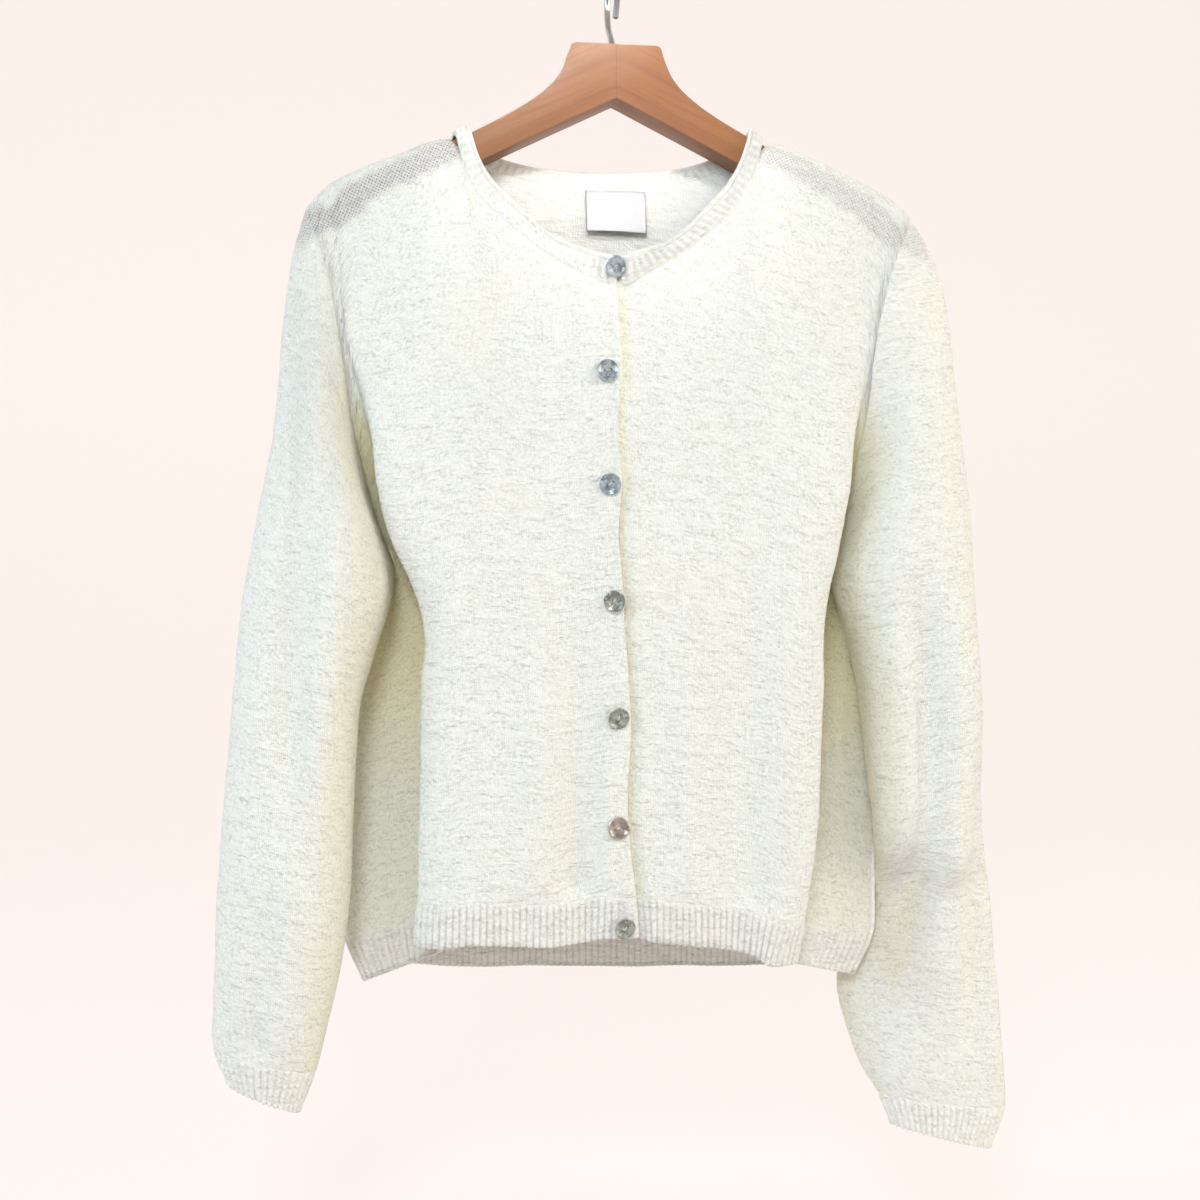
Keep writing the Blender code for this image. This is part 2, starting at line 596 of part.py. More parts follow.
def band(over, back_panel, under):
    """Two rows round the neck, edge and seam, from the over end to the under end."""
    seam = [over[0, c] for c in range(NECK_COLUMN + 2)]
    first = BACK_NECK_COLUMN
    seam += [back_panel[0, c] for c in range(first + 1, back_panel.shape[1] - first)]
    left_neck = under.shape[1] - 4 - NECK_COLUMN
    seam += [under[0, c] for c in range(left_neck + 1, under.shape[1])]
    right_edges = [neck_place(row, -1)[1] for row in NECK]
    left_edges = [neck_place(row, 1)[1] for row in NECK]
    middle = right_edges[0]
    pushed = np.array((0, CLOTH + FOLD_GAP, 0))
    edge = [middle + (over[0, 0][0] - middle[0], 0, 0), middle + (CENTRE - middle[0], 0, 0)]
    edge += right_edges[1:] + left_edges[-2:0:-1]
    closing = [under[0, -4][0], under[0, -3][0], under[0, -2][0]]
    edge += [middle + (x - middle[0], 0, 0) + pushed * (i > 0) for i, x in enumerate(closing)]
    edge.append(right_edges[1] + pushed)
    return np.array([edge, seam])


# ---- the sleeves ----
def ring_places(side):
    """Each column's share of the armhole's drop, and whether it is at the front or the back."""
    front = [(share, -1) for share in YOKE_ROWS]
    rear = [(share, 1) for share in YOKE_ROWS]
    if side.sign < 0:
        return front[::-1] + rear[1:-1] + front[-1:]
    return front + rear[-2:0:-1] + front[:1]


def sleeve(side, rings, dents):
    """Rows of points round a sleeve from the armhole to the end of its cuff."""
    s = side.sign
    around = ring_places(side)
    grid, residue = [], []
    for k, ring in enumerate(rings):
        outer = np.array((s * ring.out, ring.depth, ring.height), float)
        inner = np.array((s * ring.in_out, ring.in_depth, ring.in_height), float)
        along_axis = outer - inner
        width = np.linalg.norm(along_axis)
        unit = along_axis / width
        swell = np.array((0, 1, 0)) - unit * unit[1]
        swell = swell / np.linalg.norm(swell)
        row = []
        for i, (share, facing) in enumerate(around):
            turn = acos(1 - 2 * share)
            half = ring.half * sin(turn) * facing
            place = (outer + inner) / 2 + along_axis / 2 * cos(turn) + swell * half
            if k == 0:
                table = side.armhole_front if facing < 0 else side.armhole_back
                top = side.shoulder[-1].height
                height = top + (UNDERARM - top) * share
                true = (s * read(table, share, "out"), read(table, share, "depth"), height)
                residue.append(np.array(true) - place)
            if k < len(ARMHOLE_SHARES):
                place = place + residue[i] * ARMHOLE_SHARES[k]
            if facing < 0:
                place = place + swell * dent_at(dents, share, place[2]) * sin(turn)
            row.append(place)
        grid.append(row)
    return np.array(grid)


def dent_at(dents, share, height):
    pushed = 0
    for dent in dents:
        starts = smooth_step((dent.top - height) / 60)
        ends = smooth_step((height - dent.bottom) / 60)
        bell = np.exp(-(((share - dent.share) / dent.half_share) ** 2))
        pushed += dent.depth * starts * ends * bell
    return pushed


# ---- small pieces ----
def depth_on(grid, across, height):
    """How far back the outer surface of these columns stands at this place."""
    found = []
    for c in range(grid.shape[1]):
        x, y, z = grid[:, c].T
        found.append((np.interp(-height, -z, x), np.interp(-height, -z, y)))
    found.sort()
    return np.interp(across, *zip(*found))


def button(number, at, rise, cloth):
    """A dished two-hole button, seated just off the cloth and tilted as it hangs."""
    rim, dish = BUTTON_RADIUS, BUTTON_RADIUS * 0.72
    half = BUTTON_THICK / 2
    profile = ((0, half * 0.35), (dish, half * 0.4), (dish + 0.9, half), (rim - 0.5, half * 0.9),
               (rim, half * 0.1), (rim - 1.1, -half), (0, -half))
    mesh = bpy.data.meshes.new("button_profile")
    mesh.from_pydata([(x * MM, 0, z * MM) for x, z in profile], [(i, i + 1) for i in range(6)], [])
    piece = finish_piece(f"button_{number}", mesh, "shell")
    turned = piece.modifiers.new("turn", "SCREW")
    turned.steps = turned.render_steps = 16
    turned.use_merge_vertices = True
    turned.merge_threshold = 0.00002
    turned.use_smooth_shade = True
    facing = Matrix.Rotation(radians(90), 4, "X")
    turning = Matrix.Rotation(radians(at.yaw), 4, "Z") @ Matrix.Rotation(radians(at.pitch), 4, "X")
    turning = turning @ facing
    depths = []
    for k in range(24):
        angle = 2 * pi * k / 24
        for radius, level in ((rim, half * 0.1), (rim - 1.1, -half)):
            x, y, z = turning @ Vector((radius * cos(angle), radius * sin(angle), level))
            depths.append(depth_on(cloth, at.across + x, at.height + z) - y)
    depth = min(depths) - rise - SEAM_GAP
    place = Vector((at.across, depth, at.height)) * MM
    piece.matrix_world = Matrix.Translation(place) @ turning
    return piece


def label(back_panel):
    """A bare satin label, sewn along its top inside the back of the neck."""
    middle = back_panel.shape[1] // 2
    centre = back_panel[:, middle - 1:middle + 2]
    rows = []
    for share in (0, 0.3, 0.65, 1):
        height = LABEL_TOP - LABEL_HEIGHT * share
        curl = 1.6 * share * share
        row = []
        for side in (1, 0, -1):
            across = LABEL_MIDDLE + side * LABEL_WIDTH / 2
            depth = depth_on(centre, across, height) - CLOTH - SEAM_GAP - LABEL_THICK - curl
            row.append((across, depth, height))
        rows.append(row)
    face = np.array(rows)
    places = [0, 1, 2]
    points, faces = loft(face, face + (0, LABEL_THICK, 0), places, places, False)
    return mesh_piece("neck_label", points, faces, "satin")


def welded_copy(piece, name, colour):
    """A curve made a finished mesh piece, with its caps welded."""
    graph = bpy.context.evaluated_depsgraph_get()
    mesh = bpy.data.meshes.new_from_object(piece.evaluated_get(graph))
    work = bmesh.new()
    work.from_mesh(mesh)
    bmesh.ops.remove_doubles(work, verts=work.verts, dist=1e-6)
    work.to_mesh(mesh)
    work.free()
    mesh.transform(piece.matrix_world)
    bpy.data.objects.remove(piece)
    return finish_piece(name, mesh, colour)


def poly_curve(points, cyclic, dimensions):
    data = bpy.data.curves.new("route", "CURVE")
    data.dimensions = dimensions
    spline = data.splines.new("POLY")
    spline.points.add(len(points) - 1)
    for place, point in zip(spline.points, points):
        place.co = (*(value * MM for value in point), 1)
    spline.use_cyclic_u = cyclic
    piece = bpy.data.objects.new("route", data)
    bpy.context.scene.collection.objects.link(piece)
    return piece


def hanger():
    """The wooden bar: an outline given its thickness, rounded along its edges, bored for the hook."""
    right = [(row.out, row.height) for row in WOOD_TOP[1:] + WOOD_UNDER[:-1]]
    outline = right + [(0, WOOD_UNDER[-1].height)] + [(-x, z) for x, z in reversed(right)]
    board = poly_curve([(x + WOOD_MIDDLE, z, 0) for x, z in outline], True, "2D")
    board.data.fill_mode = "BOTH"
    board.data.extrude = WOOD_THICK / 2 * MM
    board.matrix_world = Matrix.Rotation(radians(90), 4, "X")
    bpy.context.view_layer.update()
    piece = welded_copy(board, "hanger_bar", "wood")
    rounded = piece.modifiers.new("rounded", "BEVEL")
    rounded.width = WOOD_ROUND * MM
    rounded.segments = 2
    rounded.limit_method = "ANGLE"
    rounded.angle_limit = radians(60)
    top = WOOD_TOP[0].height
    deep = top - STEM_BOTTOM + STEM_CLEARANCE
    bpy.ops.mesh.primitive_cylinder_add(
        vertices=12, radius=(WIRE / 2 + STEM_CLEARANCE) * MM / cos(pi / 12), depth=2 * deep * MM,
        location=(0, 0, top * MM))
    cutter = bpy.context.object
    cutter.name = "hook_bore_cutter"
    cutter.hide_render = True
    cutter.display_type = "WIRE"
    bpy.context.collection.objects.unlink(cutter)
    CUTTERS.objects.link(cutter)
    bored = piece.modifiers.new("bored", "BOOLEAN")
    bored.operation = "DIFFERENCE"
    bored.object = cutter
    return piece


def hook():
    """The wire: from its tip over the loop, then down into the bar."""
    steps = 16
    start, end = pi + HOOK_OPENING, -HOOK_OPENING
    loop_middle = -(LOOP_RADIUS - WIRE / 2)
    turns = [start + (end - start) * i / steps for i in range(steps + 1)]
    route = [(0, LOOP_RADIUS * cos(t), loop_middle + LOOP_RADIUS * sin(t)) for t in turns]
    last = route[-1]
    bend = [last, (0, 6.6, -48.2), (0, 1.4, -54), (0, 0, -60), (0, 0, -66)]
    route += [tuple(through(bend, i / 2)) for i in range(1, 9)] + [(0, 0, STEM_BOTTOM)]
    wire = poly_curve(route, False, "3D")
    wire.data.bevel_depth = WIRE / 2 * MM
    wire.data.bevel_resolution = 2
    wire.data.use_fill_caps = True
    bpy.context.view_layer.update()
    return welded_copy(wire, "hanger_hook", "chrome")


# ---- the whole ----
def build():
    over, under = fronts()
    back_panel = back()
    sleeve_right = sleeve(WEARERS_RIGHT, SLEEVE_RIGHT, DENTS_RIGHT)
    sleeve_left = sleeve(WEARERS_LEFT, SLEEVE_LEFT, DENTS_LEFT)
    neck = band(over, back_panel, under)
    grids = (over, under, back_panel, sleeve_right, sleeve_left, neck)
    over_n, under_n, back_n, right_n, left_n, neck_n = share_normals(grids)

    hem_bare = np.ones(under.shape[1])
    hem_bare[-3:] = 0
    hem_rows, hem_rises = (0, 1), ((0, RIB_RISE), (0, RIB_RISE))
    half, rib_half = SEAM_GAP / 2, RIB_GAP / 2
    rows = np.arange(over.shape[0])
    yoke = np.where(rows < UNDERARM_ROW, ARMHOLE_GAP / 2, half)
    side_gap = yoke + UNDERARM_EASE * np.exp(-(((rows - UNDERARM_ROW) / 1.3) ** 2))
    for name, grid, normals, sides, bare in (
        ("front_right", over, over_n, ("last",), None),
        ("front_left", under, under_n, ("first",), hem_bare),
        ("back", back_panel, back_n, ("first", "last"), None),
    ):
        gaps = dict.fromkeys(sides, side_gap[:-1])
        wall = set_back(grid[:-1], top=turning_gap(grid[0]), bottom=rib_half, **gaps)
        plain_wall(name, wall, normals[:-1])
        strip = set_back(grid[-2:], top=rib_half, **dict.fromkeys(sides, half))
        hem_name = "hem_rib_" + name
        ribbed_wall(hem_name, strip, normals[-2:], hem_rows, hem_rises, RIB_PITCH, bare)
    for side, name, grid, normals in (
        (WEARERS_RIGHT, "right", sleeve_right, right_n), (WEARERS_LEFT, "left", sleeve_left, left_n)
    ):
        ease = [smooth_step((share - 0.75) / 0.2) for share, facing in ring_places(side)]
        top_gap = ARMHOLE_GAP / 2 + UNDERARM_EASE * np.array(ease)
        wall = set_back(grid[:-1], top=top_gap, bottom=rib_half)
        plain_wall("sleeve_" + name, wall, normals[:-1], True)
        strip = set_back(grid[-2:], top=rib_half)
        ribbed_wall("cuff_" + name, strip, normals[-2:], hem_rows, hem_rises, RIB_PITCH, None, True)

    neck_bare = np.ones(neck.shape[1])
    neck_bare[-3:] = 0
    shares = (0, 0.14, 0.3, 1)
    rises = ((0, 0), (ROLL_RISE, 0), (0, RIB_RISE), (0, RIB_RISE))
    neck = set_back(neck, bottom=turning_gap(neck[1]))
    ribbed_wall("neckband", neck, neck_n, shares, rises, NECK_RIB_PITCH, neck_bare)

    for number, at in enumerate(BUTTONS, 1):
        cloth = neck[:, :4] if number == 1 else over[:, :4]
        button(number, at, BUTTON_RESTS.get(number, 0), cloth)
    label(back_panel)
    hanger()
    hook()


for old in list(bpy.data.objects):
    bpy.data.objects.remove(old)
PARTS = bpy.data.collections.new("button_cardigan")
CUTTERS = bpy.data.collections.new("cutters")
for made in (PARTS, CUTTERS):
    bpy.context.scene.collection.children.link(made)
build()
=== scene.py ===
"""Looks of a knitted button cardigan that hangs on a wooden hanger.

Each cloth piece is a smooth surface through the same named measures as the solids, made finer and
given its ribs, rolled edges and creases, and its wall is closed all round. Grids have their rows
down the cloth and their columns across it, and the outward side is columns turned towards rows.
Tables are in millimetres: "out" is the distance from the middle to either side, "depth" is minus
towards the front, and heights are measured from the inner top of the hook. Wearer's right is at
minus X.
"""

import logging
from dataclasses import dataclass, field
from enum import Enum
from math import acos, cos, pi, radians, sin
from typing import Any, Callable, NamedTuple, Sequence

import bmesh
import bpy
import numpy as np
from mathutils import Matrix, Vector, noise


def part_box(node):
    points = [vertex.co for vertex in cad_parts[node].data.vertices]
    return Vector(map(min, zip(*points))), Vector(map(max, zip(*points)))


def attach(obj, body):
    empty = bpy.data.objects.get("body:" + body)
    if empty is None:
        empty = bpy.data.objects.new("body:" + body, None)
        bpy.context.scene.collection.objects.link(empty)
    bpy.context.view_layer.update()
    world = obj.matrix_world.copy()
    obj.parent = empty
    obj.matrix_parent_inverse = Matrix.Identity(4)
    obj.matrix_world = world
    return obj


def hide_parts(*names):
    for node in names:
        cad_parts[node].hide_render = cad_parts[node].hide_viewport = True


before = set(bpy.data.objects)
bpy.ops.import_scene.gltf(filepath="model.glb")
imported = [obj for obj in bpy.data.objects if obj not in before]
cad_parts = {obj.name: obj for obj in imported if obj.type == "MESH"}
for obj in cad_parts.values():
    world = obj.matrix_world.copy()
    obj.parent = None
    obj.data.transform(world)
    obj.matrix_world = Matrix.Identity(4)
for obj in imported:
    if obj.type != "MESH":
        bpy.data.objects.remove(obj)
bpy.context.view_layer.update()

log = logging.getLogger("cardigan")
MM = 0.001
ROOT = "root"

Grid = np.ndarray
Colour = tuple[float, float, float]

# ---- measures shared by the cloth pieces, mm ----
CLOTH = 2.5
FOLD_GAP = 0.4
CENTRE = -4.0
UNDERARM = -408.0
HEM_RIB = 27.5
RIB_PITCH = 4.5
NECK_RIB_PITCH = 5.6
RIB_RISE = 0.9
ROLL_RISE = 1.1
NECK_LIFT = 2.6


class Fall(NamedTuple):
    """How far the cloth stands from the hanger's plane at a height."""

    height: float
    depth: float


class Reach(NamedTuple):
    """How far out a line of the cloth stands at a height."""

    height: float
    out: float


class Point(NamedTuple):
    """A place on a line of the cloth."""

    height: float
    out: float
    depth: float


class Flank(NamedTuple):
    """Where a front turns back towards its side."""

    height: float
    brow: float
    brow_depth: float
    turn: float
    turn_depth: float
    valley: float
    valley_depth: float


class Hole(NamedTuple):
    """A place on an armhole, at a share of its drop."""

    share: float
    out: float
    depth: float


class NeckRow(NamedTuple):
    """The neck seam and the edge of its band."""

    out: float
    depth: float
    height: float
    edge_out: float
    edge_depth: float
    edge_height: float


class Ring(NamedTuple):
    """A cut through a sleeve: its outer end, its inner end and half its thickness."""

    out: float
    depth: float
    height: float
    in_out: float
    in_depth: float
    in_height: float
    half: float


class Fold(NamedTuple):
    """An upright fold that deepens below its start."""

    across: float
    half_width: float
    depth: float
    start: float


class Dent(NamedTuple):
    """A hollow along a sleeve between two heights."""

    share: float
    half_share: float
    depth: float
    top: float
    bottom: float


class ButtonAt(NamedTuple):
    """Where a button lies, how it is turned, its holes' turn and its shade."""

    across: float
    height: float
    yaw: float
    pitch: float
    holes: float
    shade: str


def rows_of(kind: type, *rows: tuple) -> list:
    """The rows of a table as its named tuples."""
    return [kind(*row) for row in rows]


# How far the fronts and the back fall from the hanger's plane.
FRONT_FALL = rows_of(
    Fall,
    (-110, -17), (-160, -21.5), (-205, -28.5), (-240, -33.5), (-300, -39), (-360, -44),
    (-440, -48.5), (-520, -50.5), (-720, -52))
BACK_FALL = rows_of(
    Fall,
    (-110, 17), (-160, 17.5), (-200, 21), (-300, 33), (-400, 44), (-500, 53), (-600, 59), (-720, 63))

# How the cloth comes off the top of the hanger arm: share of the full depth against the drop.
SHOULDER_ROLL = rows_of(Fall, (0, 0), (0.7, 0.42), (2.5, 0.74), (5.5, 0.93), (10, 1))

# The neck from the centre front to the centre back: seam, then edge of the band.
NECK = rows_of(
    NeckRow,
    (0, -31.5, -227, 0, -30, -206.5),
    (21, -31, -219.5, 15, -29, -203.5),
    (49, -28.5, -204, 38, -26.5, -195.5),
    (76, -25, -181, 62, -23, -175),
    (93, -20.5, -163, 82, -18.5, -153),
    (101.5, -18, -142, 91, -17.2, -137),
    (106.3, -16.3, -124.5, 97, -16.3, -118.4),
    (108, 0, -118.6, 98.5, 0, -115.8),
    (106.5, 18, -124.5, 97, 18, -118.4),
    (88, 17.5, -137, 80, 21, -128),
    (50, 16, -149, 48, 25, -137),
    (0, 15, -152.5, 0, 26, -140.5))
FRONT_NECK_ROWS = 8  # the eighth row is the neck point
NECK_MIDDLE = -3.0
NECK_EASE = 60.0  # the fronts and the back leave the neck seam's depth over this drop

# Where the columns of a front and of half a back stand between its lines.
FRONT_COLUMNS = (0, 0.45, 1, 1.6, 2, 2.4, 2.7, 3, 3.5, 4, 4.5, 5, 5.5, 6, 6.5, 7)
BACK_COLUMNS = (0, 0.5, 1, 1.5, 2, 2.5, 3, 3.3, 3.65, 4.3, 5)
# Which column of a front, and of half the back, meets the neck point.
NECK_COLUMN = 7
BACK_NECK_COLUMN = 6

# Shares of the drop from the shoulder to the underarm, and from there to the hem rib.
YOKE_ROWS = (0, 0.005, 0.016, 0.035, 0.065, 0.12, 0.2, 0.31, 0.44, 0.58, 0.72, 0.85, 0.95, 1)
BODY_ROWS = (0.09, 0.22, 0.37, 0.54, 0.71, 0.87, 1)

# Upright folds below the chest, and how far below its start a fold is at its deepest.
FOLD_RUN = 110.0
FRONT_FOLDS = rows_of(
    Fold,
    (-26, 13, 4.5, -520), (29, 10, -3, -560), (76, 14, 4.5, -500), (-95, 16, -2.5, -540),
    (-66, 12, 2, -600))
BACK_FOLDS = rows_of(Fold, (-58, 18, 4, -480), (0, 20, -3, -520), (62, 16, 4.5, -460))

# Where the closing edge that shows runs down the front.
EDGE = rows_of(
    Reach,
    (-229, -1.3), (-266, 0.7), (-290, 1.8), (-320, -2.8), (-365, 0.9), (-394, -2.2), (-430, 0.4),
    (-476, 2.3), (-518, 6.2), (-566, 3.3), (-612, 5.4), (-650, 10), (-672, 11.5))

# The buttons from the neck down.
BUTTONS = rows_of(
    ButtonAt,
    (-2.8, -215.5, 14, 8, 20, "blue"), (-8.8, -286.8, 6, -8, 5, "blue"),
    (-8.3, -364.1, -8, 8, 35, "blue"), (-6, -442.7, -22, 6, 50, "green"),
    (-3.6, -520.9, 10, 10, 70, "green"), (-3.7, -594.4, 8, -6, 15, "brown"),
    (0.2, -661, 14, 14, 40, "green"))


@dataclass
class Half:
    """The measures of the wearer's right (minus X) or left half."""

    sign: int
    low: list[Reach]
    high: list[Reach]
    point: list[Reach]
    shoulder: list[Point]
    flank: list[Flank]
    armhole_front: list[Hole]
    armhole_back: list[Hole]
    seam: list[Point]
    hem: tuple[float, ...]


WEARERS_RIGHT = Half(
    sign=-1,
    low=rows_of(Reach, (-200, 51), (-300, 48), (-710, 48)),
    high=rows_of(Reach, (-110, 95), (-240, 88), (-440, 80), (-710, 82)),
    point=rows_of(Reach, (-110, 110), (-300, 112), (-440, 101), (-710, 103)),
    shoulder=rows_of(
        Point,
        (-120.2, 111, 0), (-128.7, 128, 0), (-138.4, 150, 0), (-143.6, 164, 0), (-149.4, 178, 0),
        (-154, 187, 0), (-159, 195.5, 0), (-164.5, 202.5, 0), (-176, 211, 0)),
    flank=rows_of(
        Flank,
        (-140, 150, -17, 178, -16.8, 194, -16.5), (-175, 152, -21, 179, -18, 195, -17),
        (-215, 156, -28, 181, -25, 190, -23), (-277, 158, -36, 180, -35, 184, -31.5),
        (-318, 152, -40, 170, -36.5, 171, -23), (-347, 148, -43, 166, -37, 160, -17),
        (-398, 138, -46, 156, -38, 137, -9), (-421, 128, -47, 146, -38, 127, -6),
        (-440, 119, -48.5, 137, -38.5, 119, -5), (-510, 117, -50.5, 135, -39, 116, -5),
        (-600, 117, -51, 135.5, -39, 116, -5), (-676, 119, -52, 138.7, -40, 121, -8)),
    armhole_front=rows_of(
        Hole,
        (0, 211, 0), (0.008, 210.6, -8), (0.025, 209.6, -13), (0.06, 207, -17), (0.14, 200.5, -23),
        (0.35, 190, -31.5), (0.6, 181, -25), (0.84, 168, -4), (0.96, 159, 7), (1, 155, 10)),
    armhole_back=rows_of(
        Hole,
        (0, 211, 0), (0.008, 210.6, 8), (0.025, 209.8, 13), (0.06, 208, 17), (0.14, 203, 20),
        (0.35, 194, 26), (0.6, 185, 30), (0.84, 172, 25), (0.96, 161, 15), (1, 155, 10)),
    seam=rows_of(
        Point,
        (-408, 155, 10), (-425, 159, 12), (-450, 165, 14), (-510, 180, 15), (-560, 188, 15),
        (-600, 190, 15), (-650, 189, 14), (-672, 185, 13), (-687, 180, 12), (-706, 171, 11)),
    hem=(-668, -673, -671, -670, -672, -673, -682, -705, -702, -706, -708, -708.5, -709),
)
WEARERS_LEFT = Half(
    sign=1,
    low=rows_of(Reach, (-200, 46), (-300, 48), (-710, 51)),
    high=rows_of(Reach, (-110, 89), (-240, 85), (-440, 81), (-560, 80), (-710, 74)),
    point=rows_of(Reach, (-110, 104), (-300, 110), (-440, 104), (-560, 103), (-710, 87)),
    shoulder=rows_of(
        Point,
        (-116, 105, 0), (-125, 124, 0), (-133.2, 147, 0), (-138.4, 161, 0), (-144.5, 174, 0),
        (-149.3, 184, 0), (-154, 193.5, 0), (-159, 202, 0), (-168.5, 213, 0)),
    flank=rows_of(
        Flank,
        (-132, 148, -17, 172, -16.8, 192, -16.5), (-175, 149, -22, 172, -18.5, 192, -17),
        (-226, 150, -30, 172, -28, 182, -26), (-270, 150, -35.5, 171, -34, 177, -31),
        (-318, 148, -40, 167, -36, 168, -22), (-347, 145, -43, 163.5, -37, 158, -16),
        (-398, 136, -46, 154, -38, 138, -10), (-421, 130, -47, 149.5, -38, 131, -9),
        (-443, 126, -48.5, 144, -38.5, 126, -9), (-510, 122, -50.5, 140.5, -39, 122, -9),
        (-600, 118, -51, 137, -39, 118, -9), (-650, 111, -51.5, 130, -40, 113, -10),
        (-690, 101, -52, 121, -41, 106, -12)),
    armhole_front=rows_of(
        Hole,
        (0, 213, 0), (0.008, 212.6, -8), (0.025, 211.4, -13), (0.06, 208, -17), (0.14, 199, -23),
        (0.35, 183, -31.5), (0.6, 176, -25), (0.84, 167, -5), (0.96, 160, 7), (1, 157, 10)),
    armhole_back=rows_of(
        Hole,
        (0, 213, 0), (0.008, 212.6, 8), (0.025, 211.6, 13), (0.06, 209, 17), (0.14, 202, 20),
        (0.35, 190, 26), (0.6, 182, 30), (0.84, 171, 25), (0.96, 162, 15), (1, 157, 10)),
    seam=rows_of(
        Point,
        (-408, 157, 10), (-425, 161, 12), (-450, 168, 14), (-480, 177, 15), (-510, 186, 16),
        (-560, 195, 16), (-614, 194, 14), (-634, 190.5, 9.5), (-654, 190.5, 4), (-679, 188, 3),
        (-693, 184, 3), (-706, 177, 4), (-713, 171, 4)),
    hem=(-668, -675, -679, -683, -690, -690, -692, -709, -711, -712, -712, -711, -710),
)

# Lines of half the back, from its corner beside the side seam to the middle.
CORNER = rows_of(
    Point,
    (-165, 195, 17), (-215, 190, 20.5), (-262, 182, 27), (-318, 169, 34), (-372, 157, 40),
    (-408, 150, 43), (-450, 146, 46), (-510, 147, 49), (-600, 151, 52), (-715, 152, 54))
BLADE = rows_of(
    Point,
    (-120, 150, 17), (-215, 150, 22), (-300, 140, 33), (-408, 122, 45), (-510, 112, 53),
    (-600, 112, 59), (-715, 114, 62))
BACK_POINT = rows_of(Reach, (-110, 107), (-300, 100), (-440, 82), (-715, 80))
BACK_MID = rows_of(Reach, (-110, 58), (-440, 42), (-715, 40))

# The sleeves from the armhole to the cuff's end, and the long hollows down their fronts.
SLEEVE_RIGHT = rows_of(
    Ring,
    (211, 0, -176, 155, 10, -408, 30), (219, -4, -203, 154, 8, -411, 34),
    (225, -9, -240, 152.5, 3, -416, 38), (229, -13, -274, 151.5, -3, -421, 42),
    (232.8, -16, -309, 152, -9, -428, 44), (236.2, -19, -342, 153, -14, -437, 45),
    (240.5, -21, -375, 156, -18, -450, 46), (243.8, -23, -405, 161, -20, -465, 46),
    (248.7, -25, -442, 168, -22, -487, 45), (252.5, -26, -475, 174, -24, -508, 44),
    (257.3, -27, -525, 177, -25, -540, 42), (263, -27, -585, 179.5, -25, -590, 40),
    (267.3, -27, -640, 181.5, -26, -641, 39), (270.6, -26, -692, 189, -26, -694, 36),
    (272, -25, -718, 196, -25, -724, 31), (270.5, -25, -738, 204, -25, -756, 23),
    (261.5, -25, -762, 214.5, -25, -782.5, 16))
SLEEVE_LEFT = rows_of(
    Ring,
    (213, 0, -168.5, 157, 10, -408, 30), (227.5, 0, -192, 156.5, 8, -411, 34),
    (239, 0, -227, 156, 3, -415, 38), (244.5, 1, -262, 156, -3, -420, 42),
    (248, 2, -298, 157, -8, -428, 44), (252, 3, -340, 159, -12, -438, 46),
    (255.8, 4, -380, 163, -15, -451, 47), (257, 5, -418, 169, -18, -467, 46),
    (257.4, 6, -455, 176, -22, -492, 45), (259.7, 6, -508, 182.5, -25, -522, 42),
    (262, 6, -558, 186.5, -25, -562, 38), (266.5, 6, -605, 187, -21, -607, 33),
    (269.5, 6, -619, 187.5, -13, -620, 31), (272, 6, -632, 190, 5, -634, 30),
    (274.5, 6, -646, 188, 22, -648, 28), (276.5, 5, -664, 186, 29, -664, 26),
    (278.8, 4, -700, 175, 35, -698, 23), (281.5, 4, -722, 170.5, 33, -719, 22),
    (283.5, 4, -752, 174, 24, -748, 20), (286, 4, -785, 184, 14, -778, 17),
    (286.5, 4, -809, 194, 8, -795, 14), (276, 4, -837, 203, 6, -817, 11))
DENTS_RIGHT = rows_of(Dent, (0.4, 0.16, 5, -300, -620), (0.5, 0.2, 4, -640, -735))
DENTS_LEFT = rows_of(
    Dent, (0.7, 0.17, 6, -420, -760), (0.3, 0.15, 3, -520, -700), (0.5, 0.35, -10, -585, -750))
DENT_RUN = 60.0  # how far from its ends a hollow is at its deepest
ARMHOLE_SHARES = (1, 0.62, 0.28, 0.08)  # how much of the armhole's own shape the first rings keep

# Half the wooden bar's outline: from the head out along its top, and back along its underside.
HANGER_MIDDLE = 1.0
HEAD_ROWS = 7  # how many of the top's rows are the head
WOOD_TOP = rows_of(
    Reach,
    (-58, 0), (-58, 28), (-59.2, 30.8), (-62, 32), (-70, 34.6), (-81, 40), (-92, 50),
    (-104.6, 67.5), (-121.8, 98.5), (-145.5, 147), (-163.5, 180), (-172, 191), (-182, 197.5))
WOOD_UNDER = rows_of(
    Reach,
    (-189, 195), (-190, 188), (-184.5, 176), (-138.5, 88), (-97.5, 5), (-95.2, 0))


# ---- curves and smooth surfaces ----
def read(table: Sequence[Any], at: float, column: str) -> float:
    """A column of a table as a smooth curve.

    Args:
        table: rows whose first field is the place along the curve.
        at: where the curve is read.
        column: the field that is wanted.

    Returns:
        The smooth value there, and the end row's beyond the table.
    """
    keys = np.array([row[0] for row in table], float)
    values = np.array([getattr(row, column) for row in table], float)
    if keys[0] > keys[-1]:
        keys, values, at = -keys, values, -at
    return float(curve_weights(keys, np.array([min(max(at, keys[0]), keys[-1])]))[0][0] @ values)


